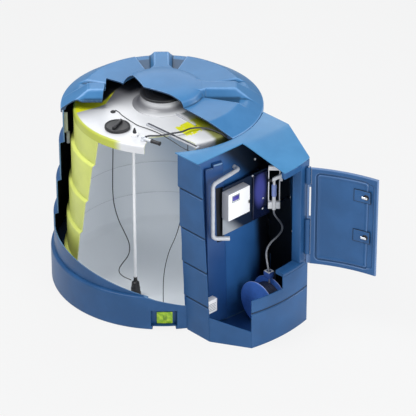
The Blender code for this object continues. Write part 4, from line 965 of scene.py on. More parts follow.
# the inner tank
tankFacts = {
    "radii": (1.020, 0.985, 0.955, 0.925, 0.892), "wall": 0.010, "floor": 0.0123, "chamfer": 0.060,
    "pan": 0.120, "start": -106.0, "end": 187.0, "skirt": 1.862, "saw": (0.345, -0.200),
    "deck": ((0.200, 1.962), (0.500, 1.957), (0.700, 1.955), (0.880, 1.950), (0.892, 1.936), (0.892, 1.862)),
    "deckCut": (
        (-0.573, -0.428), (-0.500, -0.470), (-0.360, -0.560), (-0.330, -0.750), (-0.320, -0.900),
        (-0.340, -1.200), (-1.050, -1.200), (-1.300, -0.868),
    ),
    "under": ((0.200, 1.952), (0.499, 1.947), (0.699, 1.945), (0.874, 1.940), (0.882, 1.932), (0.882, 1.862)),
    "gland": (-0.478, 0.205), "stripLength": 0.320, "stripPlace": (-0.069, -0.261), "stripTurn": -93.5,
    "gap": 0.0003,
}


def deckLevel(radius):
    return along(tankFacts["deck"][:-1], radius)


# the height at which a piece of that half width stands on the sloping deck
def deckFoot(x, y, half):
    return deckLevel(math.hypot(x, y) - half) + tankFacts["gap"]


def makeTank():
    facts = tankFacts
    r, wall, floor = facts["radii"][0], facts["wall"], facts["floor"]
    rim, chamfer = facts["pan"], facts["chamfer"]
    outside = [(r, rim), (r, floor + chamfer), (r - chamfer, floor), (0.0, floor)]
    inside = [
        (r - wall, rim), (r - wall, floor + chamfer + 0.004), (r - chamfer - 0.004, floor + wall),
        (0.0, floor + wall),
    ]
    loop = list(reversed(softened(outside, 0.03, 5))) + softened(inside, 0.03, 5)
    pan = painted(lathe("tank_pan", loop, steps=160), "grey inside")
    dressed(pan, "tank", None, "inner_tank_floor", slot="tank_yellow")

    joints = bundFacts["joints"]
    gap = facts["gap"]
    profile = ringProfile(facts["radii"], joints, facts["skirt"] - gap, facts["pan"] + gap, 0, 0.012)
    walls = shellRing(
        "tank_walls", profile, wall, facts["start"], facts["end"] - facts["start"], 190,
        ("yellow", "grey inside", "edge"),
    )
    a, b = facts["saw"]
    saw = prism("tank_saw", [(-1.6, 0.0), (a, 0.0), (a + b * 2.4, 2.4), (-1.6, 2.4)], -1.6, -0.3, "YZ")
    carveLook(walls, painted(saw, "edge"))
    dressed(walls, "tank", None, *[f"inner_tank_wall_{i + 1}" for i in range(5)])

    top = softened(facts["deck"], 0.010, 4)
    deck = painted(lathe("tank_deck", top + list(reversed(facts["under"])) + [top[0]], steps=180), "deck")
    carveLook(deck, painted(prism("deck_saw", facts["deckCut"], 1.5, 2.3), "edge"))
    x, y = facts["gland"]
    level = deckLevel(math.hypot(x, y))
    profile = [(0.0, -0.007), (0.026, -0.007), (0.026, 0.007), (0.017, 0.010), (0.017, 0.015), (0.0, 0.015)]
    gland = lathe("gland", softened(profile, 0.002, 2), (x, y, level))
    strip = bevelled(block("deck_strip", (0.0, -0.007, 0.0), (facts["stripLength"], 0.007, 0.014)), 0.002, 2)
    strip.data.transform(turned((*facts["stripPlace"], deckLevel(0.27) + gap), facts["stripTurn"]))
    deck = merged("tank_deck", [deck, painted(gland, "black"), painted(strip, "bracketGrey")])
    dressed(deck, "tank", None, "inner_tank_top")
    print("inner tank made")


# manway: a flared neck and its dished cover
manwayFacts = {"top": 2.072, "foot": 0.300, "footInside": 0.284, "coverRadius": 0.221}


def makeManway():
    facts = manwayFacts
    top, foot, gap = facts["top"], facts["foot"], tankFacts["gap"]
    low, lowInside = deckLevel(foot) + gap, deckLevel(facts["footInside"]) + gap
    profile = [
        (0.2148, top), (0.2148, 2.044), (0.219, 2.024), (0.236, 1.999), (0.264, 1.979),
        (foot - 0.0005, low + 0.008), (foot, low), (facts["footInside"], lowInside), (0.252, 1.975),
        (0.226, 1.998), (0.205, 2.036), (0.205, top),
    ]
    loop = softened(profile, 0.006, 3, True)
    neck = painted(lathe("manway_flare", loop + [loop[0]], steps=96), "neck")
    dressed(neck, "tank", None, "manway_neck")
    low, edge = top + gap, facts["coverRadius"]
    points = [
        (0.0, low + 0.017), (0.095, low + 0.017), (0.102, low + 0.013), (0.150, low + 0.011),
        (0.172, low + 0.013), (0.196, low + 0.0255), (edge - 0.004, low + 0.0258), (edge, low + 0.021),
        (edge, low), (0.0, low),
    ]
    cover = painted(lathe("manway_lid", softened(points, 0.003, 3), steps=96), "black")
    dressed(cover, "tank", None, "manway_cover")


# fittings on the deck: places in plan, and the profiles of their turned parts
capFacts = {
    "place": (-0.665, -0.066), "radius": 0.128, "turn": 22.0,
    "grip": ((-0.095, -0.014, -0.010), (0.095, 0.014, 0.024)),
    "disc": (
        (0.0, 0.0), (0.128, 0.0), (0.128, 0.024), (0.122, 0.031), (0.112, 0.032), (0.106, 0.026),
        (0.0, 0.026),
    ),
}
ventFacts = {
    "place": (-0.650, -0.300), "radius": 0.036,
    "foot": ((0.0, 0.0), (0.036, 0.0), (0.036, 0.022), (0.030, 0.029), (0.016, 0.030), (0.0, 0.030)),
    "post": ((0.0, 0.028), (0.020, 0.028), (0.017, 0.050), (0.008, 0.078), (0.004, 0.085), (0.0, 0.085)),
}
railFacts = {
    "start": (-0.411, -0.225, 0.0), "end": (-0.387, -0.925, 0.0), "half": 0.020, "high": 0.018,
    "wall": 0.012,
}
valveFacts = {
    "place": (-0.655, -0.425), "radius": 0.024, "reach": (0.220, -0.9755, 0.0), "hub": 0.0225,
    "stem": (
        (0.0, 0.0), (0.024, 0.0), (0.024, 0.010), (0.018, 0.014), (0.018, 0.040), (0.022, 0.042),
        (0.022, 0.050), (0.0, 0.050),
    ),
    "neck": ((0.0, 0.0), (0.016, 0.0), (0.016, 0.120), (0.0, 0.120)),
    "body": (
        (0.0, 0.100), (0.0215, 0.100), (0.0215, 0.112), (0.019, 0.116), (0.019, 0.190), (0.0215, 0.194),
        (0.0215, 0.205), (0.0, 0.205),
    ),
    "port": ((0.0, 0.0), (0.011, 0.0), (0.011, 0.045), (0.0, 0.045)),
}


def makeCap():
    facts = capFacts
    x, y = facts["place"]
    foot = deckFoot(x, y, facts["radius"])
    disc = lathe("cap_disc", softened(facts["disc"], 0.003, 2), (x, y, foot), steps=72)
    bar = bevelled(block("cap_grip", *facts["grip"]), 0.008)
    bar.data.transform(turned((x, y, foot + 0.032), facts["turn"]))
    whole = merged("cap", [painted(disc, "black"), painted(bar, "black")])
    dressed(whole, "tank", None, "screw_cap", angle=40.0)


def makeVent():
    facts = ventFacts
    x, y = facts["place"]
    spot = (x, y, deckFoot(x, y, facts["radius"]))
    base = lathe("vent_foot", softened(facts["foot"], 0.003, 3), spot, steps=48)
    post = lathe("vent_post", softened(facts["post"], 0.003, 3), spot, steps=32)
    whole = merged("vent", [painted(base, "white"), painted(post, "black")])
    dressed(whole, "tank", None, "deck_vent", angle=40.0)


# a rail that lies on the deck and reaches over its cut edge
def makeRail():
    facts = railFacts
    half, wall, start = facts["half"], facts["wall"], Vector(facts["start"])
    ahead = Vector(facts["end"]) - start
    turn = Matrix.Rotation(math.atan2(ahead.y, ahead.x), 4, "Z")
    rail = block("deck_rail", (0.0, -half, 0.0), (ahead.length, half, facts["high"]))
    rail.data.transform(Matrix.Translation(start) @ turn)
    nearest = min(math.hypot(*vertex.co.xy) for vertex in rail.data.vertices)
    lift = deckLevel(nearest) + 2 * tankFacts["gap"]
    rail.data.transform(Matrix.Translation((0, 0, lift)))
    rail = painted(bevelled(rail, 0.005, 4), "bracketGrey")
    trough = block("trough", (wall, -0.012, 0.008), (ahead.length - wall, 0.012, 0.03))
    trough.data.transform(Matrix.Translation(start + Vector((0, 0, lift))) @ turn)
    # the trough along the rail is painted dark as painted shade
    carveLook(rail, painted(trough, "troughShade"))
    dressed(rail, "tank", None, "level_bracket")


def makeValve():
    facts = valveFacts
    x, y = facts["place"]
    z = deckFoot(x, y, facts["radius"])
    hub, reach = Vector((x, y, z + facts["hub"])), Vector(facts["reach"])
    stem = lathe("valve_stem", softened(facts["stem"], 0.003, 3), (x, y, z), steps=40)
    neck = lathe("valve_neck", softened(facts["neck"], 0.002, 3), hub, reach, 32)
    body = lathe("valve_body", softened(facts["body"], 0.003, 3), hub, reach, 40)
    port = lathe("valve_port", facts["port"], hub, (1, 0, 0), 24)
    looks = ("pipe", "pipe", "black", "black")
    parts = [painted(part, look) for part, look in zip((stem, neck, body, port), looks)]
    dressed(merged("suction_fitting", parts), "tank", None, "suction_valve", angle=40.0)


# pump with its strainer, and the riser up to the deck
pumpFacts = {
    "place": (-0.580, -0.205), "floor": 0.0226, "riser": 0.0155, "deckUnder": 0.013,
    "profile": (
        (0.0, 0.0), (0.060, 0.0), (0.0595, 0.006), (0.054, 0.045), (0.0535, 0.058), (0.049, 0.064),
        (0.047, 0.110), (0.044, 0.116), (0.043, 0.124), (0.040, 0.150), (0.0375, 0.174), (0.022, 0.185),
        (0.020, 0.192), (0.020, 0.210), (0.017, 0.214), (0.017, 0.222), (0.020, 0.226), (0.020, 0.233),
        (0.0175, 0.235), (0.0, 0.235),
    ),
}


def makePump():
    facts = pumpFacts
    (x, y), floor, radius = facts["place"], facts["floor"], facts["riser"]
    body = painted(lathe("pump_body", softened(facts["profile"], 0.002, 2), (x, y, floor), steps=56), "black")
    dressed(body, "tank", None, "lift_pump", angle=40.0)
    low = floor + facts["profile"][-1][1] + tankFacts["gap"]
    top = deckLevel(math.hypot(x, y)) - facts["deckUnder"]
    outline = softened([(0.0, low), (radius, low), (radius, top), (0.0, top)], 0.002, 2)
    pipe = painted(lathe("riser", outline, (x, y, 0), steps=40), "white")
    dressed(pipe, "tank", None, "riser_pipe", angle=40.0)


# the panel that hangs between the walls, just behind the cut: heights of the panel and of its foot
levelFacts = {"panel": (1.640, 1.868), "foot": (1.520, 1.650)}


def makeLevelPanel():
    outer = bundFacts["radii"][-1] - bundFacts["wall"] - 2 * bundFacts["gap"]
    sweep = (bundFacts["end"] - bundFacts["start"]) / 4 - 0.02
    low, high = levelFacts["panel"]
    panel = bevelled(block("gap_panel", (outer - 0.038, -0.006, low), (outer, 0.006, high)), 0.003, 2)
    low, high = levelFacts["foot"]
    foot = bevelled(block("gap_foot", (outer - 0.055, -0.020, low), (outer - 0.022, 0.020, high)), 0.006)
    whole = merged("gap_panel", [painted(panel, "pale"), painted(foot, "grey")])
    whole.data.transform(Matrix.Rotation(math.radians(bundFacts["end"] - 0.01 - sweep / 9), 4, "Z"))
    dressed(whole, "tank", None, "level_panel")


# sight panel in its pocket
sightFacts = {
    "wall": 0.006, "deep": 0.050, "thick": 0.012, "barAngles": (3.6, 4.6), "barWide": 0.35,
    "barProud": 0.0002,
}


def makeSight():
    facts, own = bundFacts, sightFacts
    gap, wall = facts["gap"], own["wall"]
    face = (facts["radii"][0] - facts["wall"]) * math.cos(math.radians(3.0)) - gap
    back, deep, top = face - own["deep"], facts["radii"][0] - facts["notchDeep"], facts["notchTop"]
    (low, high), (start, sweep), reach = facts["pocket"], facts["pocketAngles"], facts["radii"][0] + 0.1
    profile = [
        (deep - wall, 0.0123), (face - 0.008, 0.0123), (face, 0.0203), (face, high + wall),
        (back, high + wall), (back, top + 0.03), (deep - wall, top + wall),
    ]
    pocket = painted(sectorBlock("pocket", profile, start - 0.4, sweep + 0.8, 14), "blue")
    carve(pocket, sectorBlock("hollow", upright(back + wall, reach, low, high), start, sweep, 14))
    notch = sectorBlock("notch", upright(deep, reach, -0.1, top), *facts["notchAngles"], 14)
    # the notch's faces are painted near black: painted shade
    carveLook(pocket, painted(notch, "dark"))
    dressed(pocket, "tank", None, "sight_pocket")
    inner, first = back + wall + gap, start + 2.8
    outer = inner + own["thick"]
    glass = sectorBlock(
        "sight_glass", upright(inner, outer, low + 0.008, high - 0.040), first, sweep - 5.0, 10,
    )
    parts = [bevelled(painted(glass, "sight"), 0.003, 2)]
    for at in own["barAngles"]:
        outline = upright(outer - 0.002, outer + own["barProud"], low + 0.045, high - 0.078)
        parts.append(painted(sectorBlock("sight_bar", outline, first + at, own["barWide"], 2), "dark"))
    dressed(merged("sight_glass", parts), "tank", None, "sight_panel")


makeBund()
makeLid()
makeTank()
makeManway()
makeCap()
makeVent()
makeRail()
makeValve()
makePump()
makeLevelPanel()
makeSight()
print("tank, deck and pump made")


# door: an inside face with raised border and panel, hung open
doorFacts = {
    "hinge": (0.335, -1.730), "open": 116.0, "low": 0.712, "high": 1.795, "inner": 1.742, "thick": 0.034,
    "free": -0.385, "hingeX": 0.304, "barrel": 0.014, "blocks": ((0.820, 1.215), (1.615, 1.795)),
    "swingGap": 0.005,
    "line": (
        (0.0, 0.0), (0.045, 0.0), (0.051, 0.013), (0.062, 0.013), (0.070, 0.001), (0.086, 0.001),
        (0.096, 0.006), (0.60, 0.006),
    ),
    # the free edge keeps a wider channel: its own distances, beside those of the line above
    "freeEdge": (
        (0.0, 0.0), (0.036, 0.045), (0.044, 0.051), (0.100, 0.062), (0.108, 0.070), (0.126, 0.086),
        (0.136, 0.096), (0.70, 0.66),
    ),
    "edgeRound": 0.009, "cornerRound": 0.095, "bore": 0.0064, "pin": 0.006, "pinHead": 0.010,
}


# the cabinet round the front
cabFacts = {
    "half": 0.604, "wall": 0.012, "front": 1.320, "lean": 0.070, "rear": (0.975, 0.945, 0.918, 0.890, 0.865),
    "radius": 1.735, "frontHalf": 0.389, "top": 1.960, "break": 1.200, "fall": 0.180, "rearRadius": 1.025,
    "cutY": 1.150, "sillTop": 0.725, "sillInner": 1.630, "header": 1.785, "opening": 0.250, "gap": 0.0003,
    "chamferCut": (0.270, 0.190), "frontCut": 0.550, "frontLine": 0.400, "sillThick": 0.045, "corner": 0.010,
    "grooveDepth": 0.009, "grooveHalf": 0.016, "boss": 0.0285,
}


def flankFront(z):
    return -cabFacts["front"] + cabFacts["lean"] * z


def frontAt(x):
    return -math.sqrt(cabFacts["radius"] ** 2 - x * x)


def cabTop(y):
    return cabFacts["top"] - max(0.0, -cabFacts["break"] - y) * cabFacts["fall"]


# how far the outside is set in at a height, by the moulded joint lines
def grooveDepth(z, joints):
    deepest, depth = 0.0, cabFacts["grooveDepth"]
    for joint in joints:
        off = (z - joint) / cabFacts["grooveHalf"]
        if -1.0 < off < 1.0:
            deepest = max(deepest, depth * (1.0 - off * off) if off > 0 else depth * (1.0 + off) ** 0.5)
    return deepest


# the heights at which a grooved wall needs a ring of points
def grooveLevels(low, high, joints):
    levels = {low, high}
    for joint in joints:
        for i in range(-8, 9):
            z = joint + cabFacts["grooveHalf"] * 1.15 * i / 8
            if low < z < high:
                levels.add(round(z, 5))
    return sorted(levels)


# how far back a flank runs at each ring: on the right to the outside of the bund, which closes the side
def flankBacks(side):
    rear = cabFacts["rear"]
    if side < 0:
        return rear
    return [rear[0]] + [math.sqrt(r * r - bundFacts["gate"] ** 2) for r in bundFacts["radii"][1:]]


def makeFlank(name, side, node, within):
    facts = cabFacts
    half, wall, gap, corner = facts["half"], facts["wall"], facts["gap"], facts["corner"]
    top = facts["top"] - wall - gap
    floorTop = wall + gap
    joints, backs = bundFacts["joints"], flankBacks(side)
    base = -math.sqrt((bundFacts["radii"][0] + 2 * gap) ** 2 - (half - wall) ** 2)
    marks = (floorTop, *joints, top)
    levels = set(grooveLevels(0.0, top, joints)) | {z + 0.0001 for z in joints}
    levels |= {floorTop - 0.0001, floorTop + 0.0001}
    inner = side * (half - wall)
    rings = []
    for z in sorted(levels):
        rear = base
        if z > floorTop:
            for i, y in enumerate(backs):
                if z <= marks[i + 1] or i == len(backs) - 1:
                    rear = -y
                    break
        depth = grooveDepth(z, joints)
        outer = side * (half - depth)
        front = max(flankFront(z), -facts["break"]) if z > 1.7 else flankFront(z)
        near = front + depth * 0.4
        rings.append([
            (inner, rear, z), (outer, rear, z), (outer, front + corner, z),
            (outer - side * corner * 0.3, front + corner * 0.3, z),
            (outer - side * min(corner, wall - depth - 0.001), near, z), (inner, near, z),
        ])
    piece = painted(loftRings(name, rings), "cabinet")
    # the side that faces the compartment has its own finish; on the right flank it is near-black painted
    # shade
    piece.data.materials.append(finishes[within])
    for face in piece.data.polygons:
        if face.normal.x * side < -0.9:
            face.material_index = 1
    dressed(piece, "tank", None, node, angle=40.0)


def chamferPoints(side, z):
    facts = cabFacts
    half, wall, gap = facts["half"], facts["wall"], facts["gap"]
    x = facts["frontHalf"]
    back = Vector((side * half, flankFront(z) - gap))
    radial = Vector((-side * x, -frontAt(x))).normalized()
    front = Vector((side * x, frontAt(x))) + Vector((side * radial.y, abs(radial.x))) * gap
    ahead = (front - back).normalized()
    inward = Vector((-side * abs(ahead.y), abs(ahead.x)))
    innerFront = front + radial * (wall / radial.dot(inward))
    innerBack = back - Vector((side * wall / abs(ahead.y), 0.0))
    return back, front, innerFront, innerBack


def makeChamfer(name, side, topBack, topFront, node):
    rings = []
    levels = 24
    for i in range(levels + 1):
        zBack, zFront = topBack * i / levels, topFront * i / levels
        back, _, _, innerBack = chamferPoints(side, zBack)
        _, front, innerFront, _ = chamferPoints(side, zFront)
        rings.append([(*back, zBack), (*front, zFront), (*innerFront, zFront), (*innerBack, zBack)])
    piece = painted(loftRings(name, rings), "blue")
    dressed(bevelled(piece, 0.004, 3, 30), "tank", None, node)


# the curved front from one side to the other, its outside grooved at the joint line
def frontWall(high, half, steps, joints):
    outer, inner = cabFacts["radius"], cabFacts["radius"] - cabFacts["wall"]
    turns = [math.radians(270 - half + 2 * half * i / steps) for i in range(steps + 1)]
    bm = bmesh.new()
    rows = []
    for z in grooveLevels(0.0, high, joints):
        reach = outer - grooveDepth(z, joints)
        row = [(reach * math.cos(turn), reach * math.sin(turn), z) for turn in turns]
        row += [(inner * math.cos(turn), inner * math.sin(turn), z) for turn in reversed(turns)]
        rows.append([bm.verts.new(point) for point in row])
    count = len(rows[0])
    for a, b in zip(rows, rows[1:]):
        for i in range(count):
            j = (i + 1) % count
            bm.faces.new((a[i], a[j], b[j], b[i]))
    for row in (rows[0], rows[-1]):
        for i in range(steps):
            bm.faces.new((row[i], row[i + 1], row[count - 2 - i], row[count - 1 - i]))
    return fromBmesh("front", bm)


def makeCabinet():
    facts = cabFacts
    radius, wall, gap = facts["radius"], facts["wall"], facts["gap"]
    makeFlank("left_flank", -1, "cabinet_left_flank", "inside")
    makeFlank("right_flank", 1, "cabinet_right_flank", "shade")
    topZ = facts["top"] - wall - gap
    frontTop = cabTop(-radius) - wall - gap
    makeChamfer("left_chamfer", -1, *facts["chamferCut"], "cabinet_left_chamfer")
    makeChamfer("right_chamfer", 1, topZ, frontTop, "cabinet_right_chamfer")

    half = math.degrees(math.asin(facts["frontHalf"] / radius))
    sillTop, sillInner, sillFoot = facts["sillTop"], facts["sillInner"], facts["sillTop"] - facts["sillThick"]
    front = frontWall(sillFoot - gap, half, 52, (facts["frontLine"],))
    carve(front, block("front_cut", (-1.0, -2.0, facts["frontCut"]), (0.0, -1.0, 1.0)))
    front = bevelled(painted(front, "front"), 0.003, 2, 50)
    dressed(front, "tank", None, "cabinet_front_left", "cabinet_front_right")

    loop = [
        (sillInner, sillFoot), (radius, sillFoot), (radius, sillTop - 0.012), (radius - 0.030, sillTop),
        (sillInner, sillTop),
    ]
    sill = painted(sectorBlock("sill", softened(loop, 0.008, 3, True), 270.01, half - 0.01, 26), "blue")
    dressed(sill, "tank", None, "door_sill")

    start = 270 + math.degrees(math.asin(facts["opening"] / radius))
    sweep = 270 + half - start
    low, high = sillTop + gap, frontTop
    jamb = sectorBlock("jamb", upright(sillInner, radius, low, high), start, sweep, 10)
    bevelled(jamb, 0.006, 3, 50)
    hollow = upright(sillInner + 0.02, radius - 0.02, low - 0.1, high + 0.1)
    carve(jamb, sectorBlock("jamb_hollow", hollow, start + 0.5, sweep - 1.2, 10))
    (x, y), boss, bore = doorFacts["hinge"], facts["boss"], doorFacts["bore"]
    for z0, z1 in doorFacts["blocks"]:
        lug = bevelled(block("lug", (x - 0.022, y - 0.022, z0), (x + 0.022, y + 0.034, z1)), 0.006)
        carve(jamb, lug, "UNION")
        nose = lathe(
            "nose", softened([(0.0, z0), (boss, z0), (boss, z1), (0.0, z1)], 0.003, 3), (x, y, 0), steps=64,
        )
        carve(jamb, nose, "UNION")
    carve(jamb, lathe("bore", [(0.0, 0.5), (bore, 0.5), (bore, 2.2), (0.0, 2.2)], (x, y, 0), steps=32))
    dressed(painted(jamb, "blue"), "tank", None, "door_jamb", angle=40.0)
    loop = upright(sillInner + 0.06, radius, facts["header"], frontTop)
    header = painted(sectorBlock("header", loop, 270.01, start - 270.02, 14), "blue")
    dressed(bevelled(header, 0.005, 3, 50), "tank", None, "door_header")

    # top: flat behind, falling to the front, its rim rolled over
    reach = facts["half"]
    rearEnd = -math.sqrt(facts["rearRadius"] ** 2 - reach ** 2)
    arc = [around(facts["rearRadius"], a) for a in range(234, 307, 2)]
    rear = [(-reach, rearEnd)] + [p for p in arc if abs(p[0]) < reach] + [(reach, rearEnd)]
    frontArc = [around(radius, 270 + half * (1 - 2 * i / 25)) for i in range(26)]
    outline = rear + [(reach, flankFront(facts["top"]))] + frontArc + [(-reach, flankFront(facts["top"]))]
    bend = [(-0.9, facts["top"]), (-facts["break"], facts["top"]), (-1.9, cabTop(-1.9))]
    slope = [(-0.60, facts["top"])] + softened(bend, 0.05, 6)
    side = slope + [(y, z - wall) for y, z in reversed(slope)]
    top = prism("cabinet_roof", side, -reach, reach, "YZ")
    carve(top, prism("roof_outline", outline, 1.5, 2.2), "INTERSECT")
    carve(top, block("roof_cut", (-1.0, -2.2, 1.5), (0.0, -facts["cutY"], 2.3)))
    top = bevelled(painted(top, "top"), 0.005, 3, 50)
    dressed(top, "tank", None, "cabinet_top", angle=40.0)

    edge = facts["half"] - wall - gap
    _, _, innerFront, innerBack = chamferPoints(1, 0.0)
    sideX, sideY = innerBack.x - 2 * gap, flankFront(0.0)
    noseX, noseY = innerFront.x - 3 * gap, innerFront.y + gap
    inner = radius - wall
    bend = math.degrees(math.asin(noseX / (inner - gap))) - 0.6
    nose = [around(inner - gap, 270 + bend * (1 - i / 12)) for i in range(25)]
    outline = [(-edge, -0.95), (-edge, sideY + 10 * gap), (-sideX, sideY), (-noseX, noseY)] + nose[::-1]
    outline += [(noseX, noseY), (sideX, sideY), (edge, sideY + 10 * gap), (edge, -0.95)]
    floor = prism("cabinet_base", outline, 0.0, wall)
    reach = bundFacts["radii"][0] + 2 * gap
    carve(floor, lathe("floor_round", [(0.0, -0.1), (reach, -0.1), (reach, 0.1), (0.0, 0.1)], steps=180))
    dressed(painted(floor, "inside"), "tank", None, "cabinet_floor")


# the compartment's back wall and the duct on it; the duct's left part, up to the step, ends lower
compFacts = {
    "bottom": 1.140, "top": 1.045, "high": 1.945, "duct": (249.5, 260.0), "deep": 0.045, "ductFoot": 0.030,
    "ductTop": 1.800, "step": 254.0, "stepTop": 1.752, "slot": (254.9, 4.3), "slotHeights": (0.93, 1.53),
    "peg": (0.302, 1.612), "gap": 0.0003,
}


def compRadius(z):
    return compFacts["bottom"] + (compFacts["top"] - compFacts["bottom"]) * z / compFacts["high"]


def compFace(x, z):
    return -math.sqrt(compRadius(z) ** 2 - x * x)


def makeCompartment():
    facts = compFacts
    low, top = 0.0126, 1.9477
    loop = [
        (compRadius(low), low), (compRadius(top), top), (compRadius(top) - 0.012, top),
        (compRadius(low) - 0.012, low),
    ]
    wall = sectorBlock("compartment_back", loop, 236, 68, 80)
    half = cabFacts["half"] - cabFacts["wall"] - cabFacts["gap"]
    carve(wall, block("between_flanks", (-half, -1.6, 0.0), (half, -0.5, 2.1)), "INTERSECT")
    x, z = facts["peg"]
    profile = softened([(0.0, -0.004), (0.012, -0.004), (0.012, 0.010), (0.0, 0.014)], 0.002, 3)
    peg = lathe("peg", profile, (x, compFace(x, z), z), (0.28, -0.96, 0), 24)
    wall = merged("compartment_back", [painted(wall, "back wall"), painted(peg, "white")])
    dressed(wall, "tank", None, "compartment_wall", angle=40.0)

    z0, z1 = facts["ductFoot"], facts["ductTop"]
    deep, gap, (a0, a1), step, lower = (facts[key] for key in ("deep", "gap", "duct", "step", "stepTop"))
    loop = [
        (compRadius(z0) + gap, z0), (compRadius(z0) + deep, z0), (compRadius(z1) + deep, z1 - 0.03),
        (compRadius(z1) + gap, z1),
    ]
    duct = bevelled(sectorBlock("duct", softened(loop, 0.02, 4), a0, a1 - a0, 16), 0.008, 3, 50)
    carve(duct, sectorBlock("duct_step", upright(0.9, 1.3, lower, 2.0), a0 - 1.0, step - a0 + 1.0, 8))
    crests = []  # strips along both of its ends, painted as the highlight they catch
    for b0, b1, high in ((a0 + 0.6, step - 0.2, lower), (step + 0.4, a1 - 0.6, z1 - 0.016)):
        rim = compRadius(high) + deep
        loop = [
            (rim - 0.013, high - 0.004), (rim - 0.003, high - 0.010), (rim - 0.001, high - 0.006),
            (rim - 0.011, high + 0.002),
        ]
        crests.append(painted(sectorBlock("crest", loop, b0, b1 - b0, 6), "guideEdge"))
    front = compRadius(1.2) + deep
    slot = sectorBlock(
        "duct_slot", upright(front - 0.020, front + 0.1, *facts["slotHeights"]), *facts["slot"], 6,
    )
    # the slot's faces are painted near black: painted shade
    carveLook(painted(duct, "inside"), painted(slot, "dark"))
    dressed(merged("duct", [duct] + crests), "tank", None, "wall_duct", angle=40.0)


# mounting plate, controller, tinted cover, return pipe and socket: corners are (x, z) or (x, y, z)
plateFace = -(compRadius(1.27) + 0.044)
plateFacts = {
    "low": (-0.245, 1.000), "high": (0.392, 1.535), "thick": 0.008, "studs": (-0.150, 0.340), "studIn": 0.05,
    "studRadius": 0.011, "hook": (0.161, 1.524),
}
caseFacts = {
    "low": (-0.262, 1.207), "high": (0.033, 1.507), "depth": 0.100, "seam": (0.040, 0.036),
    "window": (0.045, 0.150), "windowHeights": (0.110, 0.030), "keys": 4, "glands": 2,
}
coverFacts = {
    "low": (0.152, 1.020), "high": (0.386, 1.520), "depth": 0.024, "knobs": ((0.287, 1.228), (0.282, 1.110)),
}
pipeFacts = {
    "radius": 0.022, "bend": 0.050, "high": 1.672, "left": -0.407, "upper": 1.655, "lower": 1.044,
    "foot": 1.030,
}
socketFacts = {"left": -0.5917, "low": 0.285, "size": (0.132, 0.070, 0.150), "slots": 5, "pitch": 0.018}


def makePlate():
    facts = plateFacts
    (x0, z0), (x1, z1) = facts["low"], facts["high"]
    radius = facts["studRadius"]
    plate = bevelled(block("plate", (x0, plateFace - facts["thick"], z0), (x1, plateFace, z1)), 0.003, 2)
    parts = [painted(plate, "plate")]
    for x in facts["studs"]:
        for z in (z0 + facts["studIn"], z1 - facts["studIn"]):
            long = compFace(max(abs(x) - radius, 0.0), z - 0.0022) - compFacts["gap"] - plateFace + 0.004
            outline = [(0.0, 0.0), (radius, 0.0), (radius, long), (0.0, long)]
            parts.append(painted(lathe("stud", outline, (x, plateFace - 0.004, z), (0, 1, 0), 24), "plate"))
    x, z = facts["hook"]
    outline = softened([(0.0, 0.0), (0.010, 0.0), (0.010, 0.008), (0.0, 0.012)], 0.002, 3)
    parts.append(painted(lathe("hook", outline, (x, plateFace - 0.0078, z), (0, -1, 0), 24), "white"))
    dressed(merged("mount", parts), "tank", None, "mounting_plate")


def makeController(face):
    facts = caseFacts
    (x0, z0), (x1, z1) = facts["low"], facts["high"]
    front = face - facts["depth"]
    case = bevelled(block("case", (x0, front, z0), (x1, face, z1)), 0.010, 4)
    near, far = facts["seam"]
    seam = block("case_seam", (x0 - 0.01, face - near, z0 - 0.01), (x1 + 0.01, face - far, z1 + 0.01))
    low, high = (x0 + 0.004, face - 0.05, z0 + 0.004), (x1 - 0.004, face - 0.03, z1 - 0.004)
    carve(seam, block("case_core", low, high))
    carve(case, seam)
    (left, right), (down, up) = facts["window"], facts["windowHeights"]
    carve(case, block("window", (x0 + left, front - 0.01, z1 - down), (x0 + right, front + 0.004, z1 - up)))

    def small(name, low, high, look, width=0.001):
        return painted(bevelled(block(name, low, high), width, 2), look)

    parts = [painted(case, "case")]
    low = (x0 + left + 0.001, front + 0.0005, z1 - down + 0.001)
    high = (x0 + right - 0.001, front + 0.0041, z1 - up - 0.001)
    parts.append(small("bezel", low, high, "bezel"))
    low, high = (x0 + 0.056, front - 0.0002, z1 - 0.088), (x0 + 0.139, front + 0.002, z1 - 0.042)
    parts.append(small("glass", low, high, "screen"))
    low, high = (x1 - 0.030, front, z0 + 0.100), (x1, front + 0.014, z0 + 0.142)
    parts.append(small("catch", low, high, "black", 0.002))
    for i in range(facts["keys"]):
        x = x0 + 0.058 + 0.022 * i
        low, high = (x, front - 0.0002, z1 - 0.103), (x + 0.014, front + 0.002, z1 - 0.094)
        parts.append(small("key", low, high, "white"))
    outline = softened(
        [(0.0, 0.0), (0.012, 0.0), (0.012, 0.012), (0.009, 0.016), (0.009, 0.040), (0.0, 0.040)], 0.002, 2,
    )
    for i in range(facts["glands"]):
        spot = (x0 + 0.07 + 0.12 * i, face - facts["depth"] / 2, z0 + 0.01)
        parts.append(painted(lathe("gland", outline, spot, (0, 0, -1), 24), "white"))
    dressed(merged("controller", parts), "tank", None, "controller_box", angle=35.0)


def makeCover(face):
    facts = coverFacts
    (x0, z0), (x1, z1) = facts["low"], facts["high"]
    cover = bevelled(block("cover", (x0, face - facts["depth"], z0), (x1, face, z1)), 0.010, 4)
    parts = [painted(cover, "tint")]
    outline = softened([(0.0, 0.0), (0.009, 0.0), (0.009, 0.004), (0.0, 0.006)], 0.0015, 3)
    for x, z in facts["knobs"]:
        spot = (x, face - facts["depth"] + 0.0002, z)
        parts.append(painted(lathe("knob", outline, spot, (0, -1, 0), 24), "white"))
    dressed(merged("cover", parts), "tank", None, "instrument_cover")


